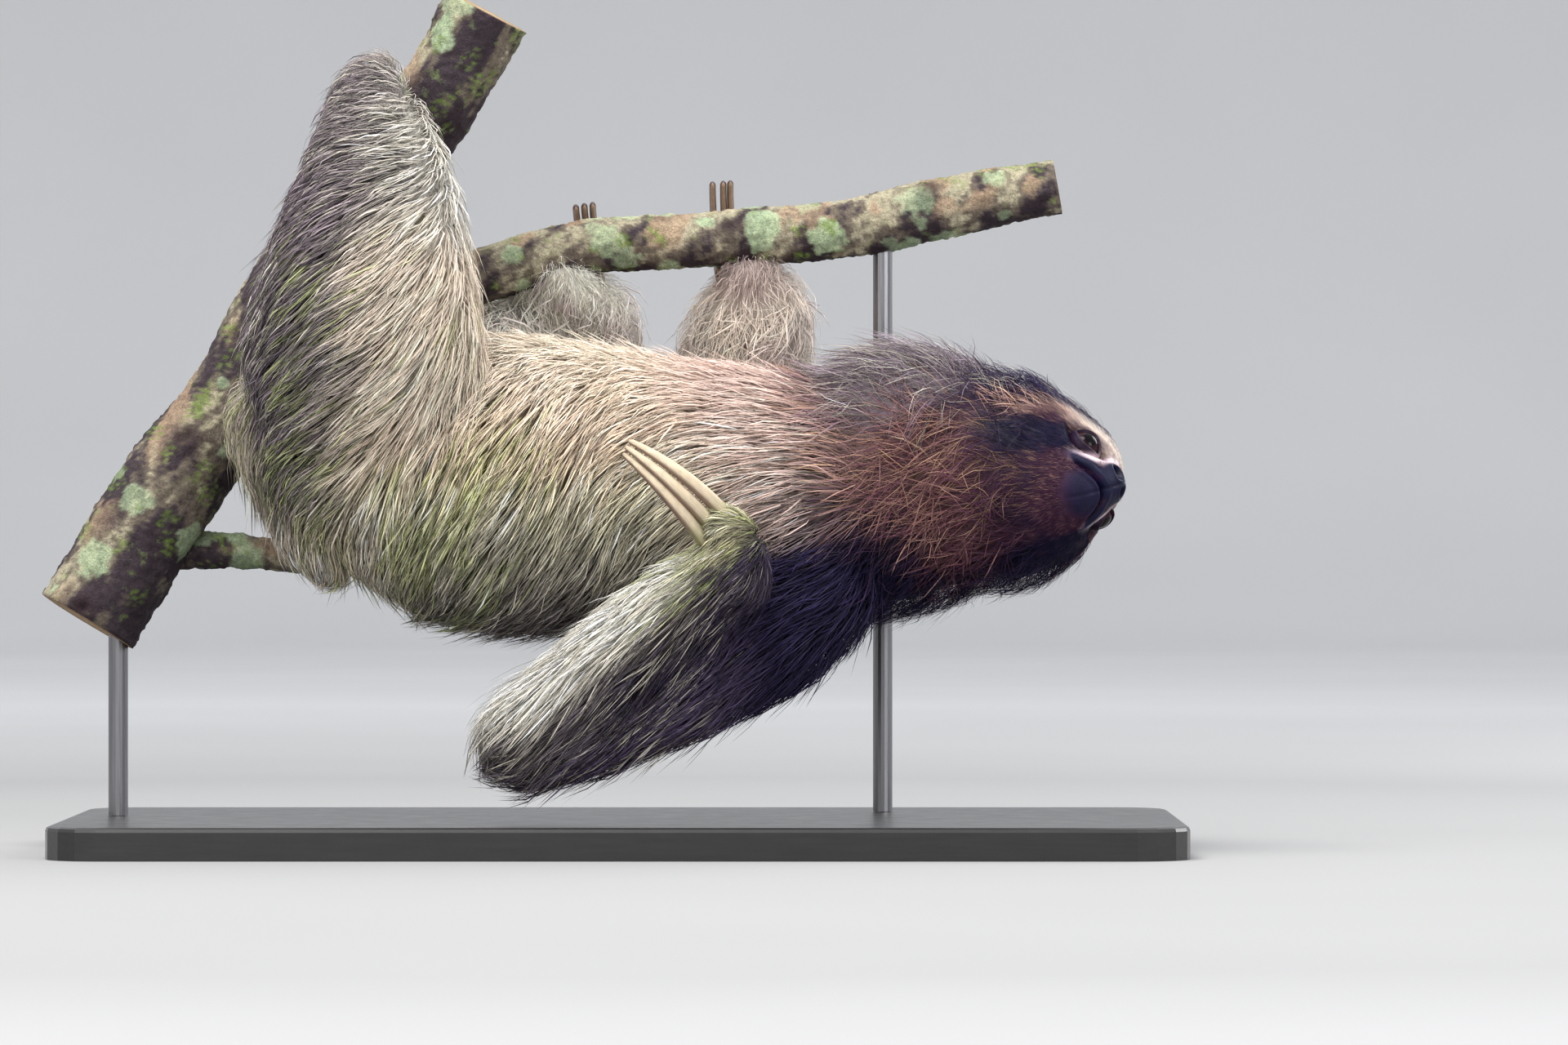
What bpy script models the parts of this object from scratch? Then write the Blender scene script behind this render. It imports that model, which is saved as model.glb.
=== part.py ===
"""A brown-throated three-toed sloth (Bradypus variegatus) at life size, on its perch and a display stand.

Metres, +Z up. The body lies along X with the head toward +X, the belly up and the animal's left side
toward -Y. The head is rolled on the neck until its throat faces -Y, with its right cheek up.
Every body part is solid out to the coat's tips.
"""

import math

import bmesh
import bpy
import numpy as np
from mathutils import Vector

GAP = 0.0003

# The display stand: a flat base and two rods.
BASE_LENGTH = 0.620
BASE_DEPTH = 0.290
BASE_HEIGHT = 0.018
BASE_CORNER = 0.030
BASE_EDGE = 0.0025
ROD_RADIUS = 0.0055
ROD_SINK = 0.006
ROD_SIDES = 18
LOW_ROD = (-0.283, 0.022)
HIGH_ROD = (0.146, 0.076)

# The perch: a leaning stem, a side branch and the stump of a small branch. Each row is centre and radius.
STEM = (
    ((-0.300, 0.020, 0.127), 0.0300),
    ((-0.261, 0.028, 0.192), 0.0300),
    ((-0.222, 0.040, 0.249), 0.0265),
    ((-0.187, 0.040, 0.313), 0.0250),
    ((-0.149, 0.024, 0.362), 0.0240),
    ((-0.108, 0.006, 0.412), 0.0240),
    ((-0.089, 0.002, 0.443), 0.0245),
    ((-0.076, 0.000, 0.467), 0.0250),
)
BRANCH = (
    ((-0.205, 0.042, 0.272), 0.0170),
    ((-0.140, 0.052, 0.300), 0.0165),
    ((-0.072, 0.060, 0.325), 0.0160),
    ((-0.023, 0.064, 0.338), 0.0158),
    ((0.020, 0.066, 0.341), 0.0158),
    ((0.065, 0.068, 0.344), 0.0162),
    ((0.108, 0.071, 0.347), 0.0165),
    ((0.146, 0.074, 0.353), 0.0178),
    ((0.190, 0.074, 0.363), 0.0170),
    ((0.245, 0.072, 0.373), 0.0160),
)
STUMP = (
    ((-0.250, 0.034, 0.167), 0.0115),
    ((-0.215, 0.036, 0.166), 0.0100),
    ((-0.180, 0.036, 0.162), 0.0090),
)

# The body from the rump to the chest: x, height of the centre, half height, half width.
BODY = (
    (-0.196, 0.247, 0.034, 0.042),
    (-0.180, 0.236, 0.047, 0.055),
    (-0.155, 0.223, 0.060, 0.067),
    (-0.117, 0.214, 0.0743, 0.077),
    (-0.072, 0.2057, 0.0850, 0.081),
    (-0.027, 0.2025, 0.0824, 0.081),
    (0.018, 0.2003, 0.0779, 0.077),
    (0.063, 0.1971, 0.0740, 0.074),
    (0.108, 0.1950, 0.0710, 0.071),
    (0.138, 0.1970, 0.0700, 0.064),
)
RUMP_ROUND = 0.019
RUMP_END = -0.110
CHEST_START = 0.012
NECK_START = 0.128
HEAD_START = 0.176

# The neck with its mane: x, sideways place, height, half height, half width.
NECK = (
    (0.118, 0.000, 0.1965, 0.0700, 0.0650),
    (0.141, 0.000, 0.2005, 0.0765, 0.0645),
    (0.162, -0.002, 0.2060, 0.0775, 0.0630),
    (0.189, -0.005, 0.2050, 0.0715, 0.0620),
    (0.209, -0.008, 0.2030, 0.0600, 0.0560),
)

# The head: ahead, aside and up from its own centre.
HEAD_CENTRE = Vector((0.2105, -0.0180, 0.2046))
HEAD_TURN = math.radians(19.0)
HEAD_LIFT = math.radians(6.0)
HEAD_ROLL = math.radians(72.0)
HEAD_RADII = (0.0645, 0.0645, 0.0590)
HEAD_SWELLS = (
    # direction (ahead, to the animal's right, up), height, spread in degrees
    ((0.93, 0.0, -0.37), 0.0170, 20.0),
    ((0.86, 0.0, 0.30), 0.0070, 26.0),
    ((0.90, 0.38, -0.02), -0.0045, 20.0),
    ((0.90, -0.38, -0.02), -0.0045, 20.0),
)
NOSE_PLACE = (0.0770, 0.0, -0.0325)
NOSE_RADII = (0.0085, 0.0125, 0.0105)
EYE_PLACE = (0.0565, 0.0225, -0.0200)
EYE_RADIUS = 0.0090

# Limbs: each row is a centre, the half width across the limb in the X-Z plane and its half depth.
# A limb's pieces meet at the planes that halve its bends.
LEFT_LEG = {
    "thigh_left": (
        ((-0.153, -0.028, 0.212), 0.034, 0.030),
        ((-0.148, -0.038, 0.240), 0.057, 0.040),
        ((-0.142, -0.050, 0.268), 0.069, 0.043),
        ((-0.138, -0.062, 0.300), 0.0650, 0.043),
        ((-0.135, -0.068, 0.332), 0.0570, 0.041),
    ),
    "shank_left": (
        ((-0.135, -0.068, 0.332), 0.0570, 0.041),
        ((-0.133, -0.066, 0.364), 0.0475, 0.038),
        ((-0.134, -0.057, 0.396), 0.0360, 0.033),
    ),
    "foot_left": (
        ((-0.134, -0.057, 0.396), 0.0360, 0.033),
        ((-0.137, -0.043, 0.414), 0.0280, 0.029),
        ((-0.136, -0.026, 0.424), 0.0220, 0.026),
    ),
}
RIGHT_LEG = {
    "thigh_right": (
        ((-0.132, 0.030, 0.236), 0.044, 0.040),
        ((-0.096, 0.056, 0.254), 0.050, 0.042),
        ((-0.062, 0.084, 0.268), 0.048, 0.038),
        ((-0.034, 0.104, 0.274), 0.042, 0.034),
    ),
    "shank_right": (
        ((-0.034, 0.104, 0.274), 0.042, 0.034),
        ((-0.033, 0.096, 0.290), 0.0440, 0.033),
        ((-0.034, 0.082, 0.304), 0.0430, 0.029),
    ),
    "foot_right": (
        ((-0.034, 0.082, 0.304), 0.0430, 0.029),
        ((-0.033, 0.070, 0.312), 0.0400, 0.024),
        ((-0.030, 0.058, 0.316), 0.0320, 0.020),
    ),
}
LEFT_ARM = {
    "upper_arm_left": (
        ((0.108, -0.034, 0.152), 0.042, 0.036),
        ((0.084, -0.046, 0.130), 0.0435, 0.037),
        ((0.034, -0.060, 0.101), 0.0400, 0.036),
        ((-0.016, -0.071, 0.077), 0.0360, 0.033),
        ((-0.049, -0.078, 0.064), 0.0310, 0.032),
    ),
    "forearm_left": (
        ((-0.049, -0.078, 0.064), 0.0310, 0.032),
        ((-0.006, -0.084, 0.098), 0.0335, 0.033),
        ((0.020, -0.088, 0.1225), 0.0315, 0.031),
        ((0.042, -0.093, 0.1410), 0.0285, 0.028),
        ((0.0600, -0.098, 0.1540), 0.0250, 0.026),
    ),
    "hand_left": (
        ((0.0600, -0.098, 0.1540), 0.0250, 0.0260),
        ((0.0630, -0.101, 0.1680), 0.0205, 0.0230),
        ((0.0590, -0.104, 0.1780), 0.0155, 0.0180),
        ((0.0540, -0.106, 0.1825), 0.0120, 0.0140),
    ),
}
RIGHT_ARM = {
    "upper_arm_right": (
        ((0.104, 0.036, 0.184), 0.044, 0.042),
        ((0.088, 0.074, 0.187), 0.041, 0.039),
        ((0.060, 0.118, 0.190), 0.036, 0.035),
        ((0.037, 0.156, 0.192), 0.031, 0.031),
    ),
    "forearm_right": (
        ((0.037, 0.156, 0.192), 0.031, 0.031),
        ((0.051, 0.132, 0.230), 0.036, 0.034),
        ((0.064, 0.104, 0.266), 0.0400, 0.034),
        ((0.0725, 0.082, 0.298), 0.0375, 0.031),
    ),
    "hand_right": (
        ((0.0725, 0.082, 0.298), 0.0375, 0.031),
        ((0.0730, 0.074, 0.312), 0.0310, 0.027),
        ((0.0710, 0.067, 0.323), 0.0240, 0.022),
    ),
}
TAIL = (
    ((-0.181, 0.000, 0.205), 0.024, 0.026),
    ((-0.173, 0.000, 0.180), 0.024, 0.026),
    ((-0.163, 0.000, 0.163), 0.018, 0.021),
)

# Claws: three to a hand or foot, side by side.
CLAW_SPACING = 0.0088
CLAW_HALF_HEIGHT = 0.0046
CLAW_HALF_WIDTH = 0.0034
CLAW_TIP = 0.17
CLAW_TAPER = 1.9
HAND_CLAWS = (
    # root, middle and tip of each claw of the free left hand
    ((0.0625, -0.1045, 0.1815), (0.0370, -0.1135, 0.2065), (0.0081, -0.1000, 0.2255)),
    ((0.0545, -0.1050, 0.1765), (0.0310, -0.1130, 0.2015), (0.0059, -0.0995, 0.2220)),
    ((0.0480, -0.1040, 0.1705), (0.0270, -0.1110, 0.1965), (0.0045, -0.0980, 0.2180)),
)
# Gripping claws: turn in degrees about the perch from root to tip, and distance from its axis at each end.
LEFT_FOOT_GRIP = (158.0, 28.0, 0.0295, 0.0300)
RIGHT_FOOT_GRIP = (-78.0, 82.0, 0.0205, 0.0255)
RIGHT_HAND_GRIP = (-80.0, 80.0, 0.0210, 0.0340)
LEFT_FOOT_ALONG = 0.300
RIGHT_FOOT_ALONG = 0.198
RIGHT_HAND_ALONG = 0.275

WOOD = ("wood", (0.42, 0.36, 0.29, 1.0), 0.85)
FUR = ("fur", (0.45, 0.38, 0.29, 1.0), 0.9)
DARK_FUR = ("dark_fur", (0.20, 0.13, 0.10, 1.0), 0.9)
BLACK_SKIN = ("black_skin", (0.02, 0.018, 0.018, 1.0), 0.35)
EYE = ("eye", (0.05, 0.02, 0.012, 1.0), 0.08)
CLAW = ("claw", (0.62, 0.47, 0.27, 1.0), 0.4)
STAND = ("stand", (0.10, 0.10, 0.105, 1.0), 0.5)


def clear_scene():
    for thing in list(bpy.data.objects):
        bpy.data.objects.remove(thing)


def new_collection(name):
    made = bpy.data.collections.new(name)
    bpy.context.scene.collection.children.link(made)
    return made


def material(name, finish):
    label, colour, roughness = finish
    made = bpy.data.materials.new(f"{label}_{name}")
    made.use_nodes = True
    shader = made.node_tree.nodes["Principled BSDF"]
    shader.inputs["Base Color"].default_value = colour
    shader.inputs["Roughness"].default_value = roughness
    made.diffuse_color = colour
    return made


def spline(values, at):
    """A smooth curve through the rows of values, read at each place of at, from 0 to the last row."""
    values = np.asarray(values, float)
    last = len(values) - 1
    out = []
    for place in at:
        i = min(int(place), last - 1)
        t = place - i
        before, here = values[max(i - 1, 0)], values[i]
        there, after = values[i + 1], values[min(i + 2, last)]
        out.append(
            0.5
            * (
                2 * here
                + (there - before) * t
                + (2 * before - 5 * here + 4 * there - after) * t * t
                + (3 * here - before - 3 * there + after) * t**3
            )
        )
    return np.array(out)


def loft(centres, across, deep, segments, side, start_round, end_round, steps=2):
    """A closed bmesh round a line of centres, with oval sections and a rounded or flat cap at each end."""
    centres = np.asarray(centres, float)
    tangents = np.gradient(centres, axis=0)
    tangents /= np.linalg.norm(tangents, axis=1)[:, None]
    rows = []
    if start_round:
        for k in range(steps, 0, -1):
            turn = math.pi / 2 * k / (steps + 0.35)
            rows.append((0, -start_round * math.sin(turn), math.cos(turn)))
    rows += [(i, 0.0, 1.0) for i in range(len(centres))]
    if end_round:
        for k in range(1, steps + 1):
            turn = math.pi / 2 * k / (steps + 0.35)
            rows.append((len(centres) - 1, end_round * math.sin(turn), math.cos(turn)))
    mesh = bmesh.new()
    rings = []
    for i, shift, scale in rows:
        tangent = Vector(tangents[i])
        v = (Vector(side) - tangent * tangent.dot(Vector(side))).normalized()
        u = v.cross(tangent).normalized()
        centre = Vector(centres[i]) + tangent * shift
        ring = []
        for k in range(segments):
            turn = 2 * math.pi * k / segments
            offset = u * (math.cos(turn) * across[i]) + v * (math.sin(turn) * deep[i])
            ring.append(mesh.verts.new(centre + offset * scale))
        rings.append(ring)
    for low, high in zip(rings, rings[1:]):
        for k in range(segments):
            n = (k + 1) % segments
            mesh.faces.new((low[k], low[n], high[n], high[k]))
    tips = (
        (rings[0], centres[0] - tangents[0] * start_round, True),
        (rings[-1], centres[-1] + tangents[-1] * end_round, False),
    )
    for ring, tip, first in tips:
        pole = mesh.verts.new(tip)
        for k in range(segments):
            n = (k + 1) % segments
            mesh.faces.new((ring[n], ring[k], pole) if first else (ring[k], ring[n], pole))
    bmesh.ops.recalc_face_normals(mesh, faces=mesh.faces)
    if mesh.calc_volume(signed=True) < 0:
        bmesh.ops.reverse_faces(mesh, faces=mesh.faces)
    return mesh


def limb(stations, segments=14, per_station=2, round_share=0.85):
    """A limb from rows of centre, half width and half depth, with rounded ends."""
    rows = [(*centre, wide, deep) for centre, wide, deep in stations]
    count = (len(rows) - 1) * per_station + 1
    smooth = spline(rows, np.linspace(0, len(rows) - 1, count))
    first = min(smooth[0, 3], smooth[0, 4]) * round_share
    last = min(smooth[-1, 3], smooth[-1, 4]) * round_share
    return loft(smooth[:, :3], smooth[:, 3], smooth[:, 4], segments, (0, 1, 0), first, last)


def round_wood(stations, segments, per_station, wobble):
    """A branch from rows of centre and radius, slightly uneven in girth, with flat sawn ends."""
    rows = [(*centre, radius) for centre, radius in stations]
    count = (len(rows) - 1) * per_station + 1
    smooth = spline(rows, np.linspace(0, len(rows) - 1, count))
    swell = 1 + wobble * np.sin(np.arange(count) * 1.9) * np.cos(np.arange(count) * 0.7)
    radius = smooth[:, 3] * swell
    return loft(smooth[:, :3], radius, radius, segments, (0, 1, 0), 0.0, 0.0)


def add_object(name, mesh, collection, finish=None):
    data = bpy.data.meshes.new(name)
    mesh.to_mesh(data)
    mesh.free()
    made = bpy.data.objects.new(name, data)
    collection.objects.link(made)
    if finish:
        data.materials.append(material(name, finish))
    return made


def boolean(target, other, operation):
    change = target.modifiers.new(operation.lower(), "BOOLEAN")
    change.operation = operation
    change.solver = "EXACT"
    change.object = other
    bpy.context.view_layer.update()
    graph = bpy.context.evaluated_depsgraph_get()
    data = bpy.data.meshes.new_from_object(target.evaluated_get(graph))
    target.modifiers.remove(change)
    mesh = bmesh.new()
    mesh.from_mesh(data)
    bmesh.ops.triangulate(mesh, faces=mesh.faces)
    mesh.to_mesh(data)
    mesh.free()
    target.data = data


def keep_largest(target):
    """Drops the crumbs that a cut can leave."""
    mesh = bmesh.new()
    mesh.from_mesh(target.data)
    left = set(mesh.verts)
    groups = []
    while left:
        front = [left.pop()]
        group = set(front)
        while front:
            for edge in front.pop().link_edges:
                for vert in edge.verts:
                    if vert in left:
                        left.discard(vert)
                        group.add(vert)
                        front.append(vert)
        groups.append(group)
    groups.sort(key=len)
    for group in groups[:-1]:
        bmesh.ops.delete(mesh, geom=list(group), context="VERTS")
    mesh.to_mesh(target.data)
    mesh.free()


def grown(source, name, cutters, by=GAP):
    """A hidden copy of a part, larger all round by the gap."""
    data = source.data.copy()
    mesh = bmesh.new()
    mesh.from_mesh(data)
    mesh.normal_update()
    moves = [(vert, vert.normal * by) for vert in mesh.verts]
    for vert, move in moves:
        vert.co += move
    mesh.to_mesh(data)
    mesh.free()
    made = bpy.data.objects.new(name, data)
    cutters.objects.link(made)
    made.hide_render = True
    made.display_type = "WIRE"
    return made


def head_point(ahead, right, up):
    """A place on the head, in its own axes, which are turned toward the onlooker, lifted and rolled."""
    forward = Vector(
        (
            math.cos(HEAD_TURN) * math.cos(HEAD_LIFT),
            -math.sin(HEAD_TURN) * math.cos(HEAD_LIFT),
            math.sin(HEAD_LIFT),
        )
    )
    level = Vector((-math.sin(HEAD_TURN), -math.cos(HEAD_TURN), 0.0))
    sideways = level * math.cos(HEAD_ROLL) + level.cross(forward) * math.sin(HEAD_ROLL)
    crown = sideways.cross(forward)
    return HEAD_CENTRE + forward * ahead + sideways * right + crown * up


def head_mesh():
    mesh = bmesh.new()
    bmesh.ops.create_uvsphere(mesh, u_segments=22, v_segments=16, radius=1.0)
    for vert in mesh.verts:
        way = vert.co.normalized()
        ahead, right, up = way.x, -way.y, way.z
        oval = math.sqrt(sum((w / r) ** 2 for w, r in zip((ahead, right, up), HEAD_RADII)))
        reach = 1 / oval
        for aim, height, spread in HEAD_SWELLS:
            angle = Vector((ahead, right, up)).angle(Vector(aim))
            reach += height * math.exp(-((angle / math.radians(spread)) ** 2))
        vert.co = head_point(ahead * reach, right * reach, up * reach)
    return mesh


def oval_mesh(place, radii, divisions):
    mesh = bmesh.new()
    bmesh.ops.create_icosphere(mesh, subdivisions=divisions, radius=1.0)
    for vert in mesh.verts:
        ahead, left, up = (w * r for w, r in zip(vert.co, radii))
        vert.co = head_point(place[0] + ahead, place[1] - left, place[2] + up)
    return mesh


def body_mesh():
    rows = spline(BODY, np.linspace(0, len(BODY) - 1, (len(BODY) - 1) * 2 + 1))
    centres = np.column_stack([rows[:, 0], np.zeros(len(rows)), rows[:, 1]])
    return loft(centres, rows[:, 2], rows[:, 3], 24, (0, 1, 0), RUMP_ROUND, 0.020)


def neck_mesh():
    rows = spline(NECK, np.linspace(0, len(NECK) - 1, (len(NECK) - 1) * 2 + 1))
    return loft(rows[:, :3], rows[:, 3], rows[:, 4], 24, (0, 1, 0), 0.010, 0.010)


def trim(mesh, point, normal):
    """Cuts a closed mesh at a plane, keeps the side that the normal points to and closes the cut."""
    geometry = list(mesh.verts) + list(mesh.edges) + list(mesh.faces)
    cut = bmesh.ops.bisect_plane(
        mesh, geom=geometry, plane_co=point, plane_no=normal, clear_inner=True
    )
    rim = [e for e in cut["geom_cut"] if isinstance(e, bmesh.types.BMEdge) and e.is_boundary]
    filled = bmesh.ops.edgeloop_fill(mesh, edges=rim)
    bmesh.ops.triangulate(mesh, faces=filled["faces"])
    bmesh.ops.recalc_face_normals(mesh, faces=mesh.faces)


def limb_meshes(pieces, segments):
    """The lofts of one limb, each ended by the planes that halve the bends between them."""
    names = list(pieces)
    ends = {}
    for name in names:
        rows = np.array([centre for centre, _, _ in pieces[name]], float)
        ends[name] = (Vector(rows[1] - rows[0]).normalized(), Vector(rows[-1] - rows[-2]).normalized())
    meshes = {}
    for k, name in enumerate(names):
        mesh = limb(pieces[name], segments)
        if k > 0:
            normal = (ends[names[k - 1]][1] + ends[name][0]).normalized()
            trim(mesh, Vector(pieces[name][0][0]) + normal * GAP / 2, normal)
        if k + 1 < len(names):
            normal = (ends[name][1] + ends[names[k + 1]][0]).normalized()
            trim(mesh, Vector(pieces[name][-1][0]) - normal * GAP / 2, -normal)
        meshes[name] = mesh
    return meshes


def claw_mesh(points):
    """A claw along a line of points, tall in the plane of its curve and narrowing to a blunt tip."""
    count = len(points)
    share = 1 - (1 - CLAW_TIP) * np.linspace(0, 1, count) ** CLAW_TAPER
    tall = CLAW_HALF_HEIGHT * share
    wide = CLAW_HALF_WIDTH * share
    points = np.asarray(points, float)
    chord = points[-1] - points[0]
    bow = points[count // 2] - (points[0] + points[-1]) / 2
    side = np.cross(chord, bow)
    side /= np.linalg.norm(side)
    return loft(points, tall, wide, 7, tuple(side), 0.002, tall[-1] * 1.6, steps=1)


def free_claw(root, middle, tip):
    middle = 2 * np.asarray(middle) - 0.5 * (np.asarray(root) + np.asarray(tip))
    turns = np.linspace(0, 1, 6)[:, None]
    return (1 - turns) ** 2 * root + 2 * turns * (1 - turns) * middle + turns**2 * tip


def place_on(stations, share_of_length):
    """The point and the direction at a distance along a branch."""
    rows = np.array([centre for centre, _ in stations], float)
    fine = spline(rows, np.linspace(0, len(rows) - 1, 200))
    lengths = np.concatenate([[0], np.cumsum(np.linalg.norm(np.diff(fine, axis=0), axis=1))])
    k = int(np.searchsorted(lengths, share_of_length))
    tangent = fine[k + 1] - fine[k - 1]
    return fine[k], tangent / np.linalg.norm(tangent)


def grip_claw(stations, along, grip, offset, first_axis):
    """A claw bent round a branch, offset along it from the middle claw."""
    start, end, near, far = grip
    centre, tangent = place_on(stations, along + offset)
    first = np.asarray(first_axis, float)
    first -= tangent * first.dot(tangent)
    first /= np.linalg.norm(first)
    second = np.cross(tangent, first)
    if second[2] < 0 or abs(second[2]) < 1e-6:
        second = -second
    points = []
    for t in np.linspace(0, 1, 8):
        turn = math.radians(start + (end - start) * t)
        reach = near + (far - near) * t * t
        points.append(centre + (first * math.cos(turn) + second * math.sin(turn)) * reach)
    return np.array(points)


def base_mesh():
    mesh = bmesh.new()
    bmesh.ops.create_cube(mesh, size=1.0)
    for vert in mesh.verts:
        vert.co = (
            vert.co.x * BASE_LENGTH,
            vert.co.y * BASE_DEPTH,
            (vert.co.z + 0.5) * BASE_HEIGHT,
        )
    upright = [e for e in mesh.edges if abs(e.verts[0].co.z - e.verts[1].co.z) > BASE_HEIGHT / 2]
    bmesh.ops.bevel(mesh, geom=upright, offset=BASE_CORNER, segments=4, affect="EDGES", profile=0.5)
    top = [
        e
        for e in mesh.edges
        if all(v.co.z > BASE_HEIGHT * 0.99 for v in e.verts) and len(e.link_faces) == 2
        and any(abs(f.normal.z) < 0.5 for f in e.link_faces)
    ]
    bmesh.ops.bevel(mesh, geom=top, offset=BASE_EDGE, segments=2, affect="EDGES", profile=0.5)
    return mesh


def rod_mesh(place, top):
    x, y = place
    heights = (BASE_HEIGHT + GAP, top)
    centres = [(x, y, z) for z in heights]
    radius = (ROD_RADIUS, ROD_RADIUS)
    return loft(centres, radius, radius, ROD_SIDES, (0, 1, 0), 0.0, 0.0)


def height_on(stations, x):
    """The height and radius of a branch's axis above a place x."""
    rows = np.array([(*centre, radius) for centre, radius in stations], float)
    fine = spline(rows, np.linspace(0, len(rows) - 1, 400))
    k = int(np.argmin(abs(fine[:, 0] - x)))
    return fine[k, 2], fine[k, 3]


def main():
    clear_scene()
    parts = new_collection("three_toed_sloth")
    cutters = new_collection("cutters")
    cutters.hide_render = True

    stem = add_object("perch_stem", round_wood(STEM, 14, 2, 0.035), parts, WOOD)
    branch = add_object("perch_branch", round_wood(BRANCH, 12, 2, 0.04), parts, WOOD)
    stump = add_object("perch_stump", round_wood(STUMP, 10, 2, 0.03), parts, WOOD)
    stem_cut = grown(stem, "stem_cut", cutters)
    boolean(branch, stem_cut, "DIFFERENCE")
    boolean(stump, stem_cut, "DIFFERENCE")
    keep_largest(branch)
    keep_largest(stump)
    branch_cut = grown(branch, "branch_cut", cutters)
    stump_cut = grown(stump, "stump_cut", cutters)
    wood_cuts = (stem_cut, branch_cut, stump_cut)

    whole = add_object("whole", body_mesh(), cutters)
    for name, mesh in (("mane", neck_mesh()), ("skull", head_mesh())):
        boolean(whole, add_object(name, mesh, cutters), "UNION")
    whole_cut = grown(whole, "whole_cut", cutters)
    lengths = (
        ("rump", -1.0, RUMP_END, FUR),
        ("belly", RUMP_END, CHEST_START, FUR),
        ("chest", CHEST_START, NECK_START, FUR),
        ("neck", NECK_START, HEAD_START, DARK_FUR),
        ("head", HEAD_START, 1.0, DARK_FUR),
    )
    made = {}
    for name, low, high, finish in lengths:
        mesh = bmesh.new()
        mesh.from_mesh(whole.data)
        if name != "rump":
            trim(mesh, (low + GAP / 2, 0, 0), (1, 0, 0))
        if name != "head":
            trim(mesh, (high - GAP / 2, 0, 0), (-1, 0, 0))
        made[name] = add_object(name, mesh, parts, finish)

    copies = {}
    for pieces, segments in ((LEFT_LEG, 16), (RIGHT_LEG, 14), (LEFT_ARM, 14), (RIGHT_ARM, 14)):
        for name, mesh in limb_meshes(pieces, segments).items():
            made[name] = add_object(name, mesh, parts, FUR)
            copies[name] = grown(made[name], f"{name}_cut", cutters)
            boolean(made[name], whole_cut, "DIFFERENCE")
    made["tail"] = add_object("tail", limb(TAIL, 12), parts, FUR)
    boolean(made["tail"], whole_cut, "DIFFERENCE")
    for name, near in (("hand_left", "upper_arm_left"), ("foot_right", "thigh_right")):
        boolean(made[name], copies[near], "DIFFERENCE")
    for name, piece in made.items():
        for wood in wood_cuts:
            boolean(piece, wood, "DIFFERENCE")
        keep_largest(piece)

    nose = add_object("nose", oval_mesh(NOSE_PLACE, NOSE_RADII, 2), parts, BLACK_SKIN)
    boolean(made["head"], grown(nose, "nose_cut", cutters), "DIFFERENCE")
    for side, sign in (("right", 1), ("left", -1)):
        place = (EYE_PLACE[0], sign * EYE_PLACE[1], EYE_PLACE[2])
        radii = (EYE_RADIUS,) * 3
        eye = add_object(f"eye_{side}", oval_mesh(place, radii, 2), parts, EYE)
        boolean(made["head"], grown(eye, f"eye_{side}_cut", cutters), "DIFFERENCE")
    keep_largest(made["head"])

    claws = {}
    for k, (root, middle, tip) in enumerate(HAND_CLAWS, 1):
        claws[f"claw_hand_left_{k}"] = (free_claw(root, middle, tip), "hand_left")
    grips = (
        ("foot_left", STEM, LEFT_FOOT_ALONG, LEFT_FOOT_GRIP, (1, 0, 0)),
        ("foot_right", BRANCH, RIGHT_FOOT_ALONG, RIGHT_FOOT_GRIP, (0, 1, 0)),
        ("hand_right", BRANCH, RIGHT_HAND_ALONG, RIGHT_HAND_GRIP, (0, 1, 0)),
    )
    for owner, stations, along, grip, axis in grips:
        for k in (-1, 0, 1):
            points = grip_claw(stations, along, grip, k * CLAW_SPACING, axis)
            claws[f"claw_{owner}_{k + 2}"] = (points, owner)
    holders = {
        "hand_left": ("hand_left", "forearm_left"),
        "foot_left": ("foot_left", "shank_left"),
        "foot_right": ("foot_right", "shank_right"),
        "hand_right": ("hand_right", "forearm_right"),
    }
    for name, (points, owner) in claws.items():
        claw = add_object(name, claw_mesh(points), parts, CLAW)
        for near in holders[owner]:
            boolean(claw, copies[near], "DIFFERENCE")
        for wood in wood_cuts:
            boolean(claw, wood, "DIFFERENCE")
        keep_largest(claw)

    add_object("stand_base", base_mesh(), parts, STAND)
    for name, place, holder in (
        ("stand_rod_low", LOW_ROD, stem),
        ("stand_rod_high", HIGH_ROD, branch),
    ):
        stations = STEM if holder is stem else BRANCH
        height, radius = height_on(stations, place[0])
        rod = add_object(name, rod_mesh(place, height - radius * 0.6 + ROD_SINK), parts, STAND)
        boolean(holder, grown(rod, f"{name}_cut", cutters), "DIFFERENCE")

    for piece in parts.objects:
        for face in piece.data.polygons:
            face.use_smooth = True


main()
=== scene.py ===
"""A brown-throated three-toed sloth at life size: skin, a coat of solid locks, eyes, claws, perch, stand.

Metres, +Z up, in the frame of the CAD. The belly is up, the head lies toward +X with its throat toward -Y,
and the animal's left side faces -Y.
"""

import math
from collections import namedtuple

import bmesh
import bpy
import numpy as np
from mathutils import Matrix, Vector, kdtree
from mathutils.bvhtree import BVHTree

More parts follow.
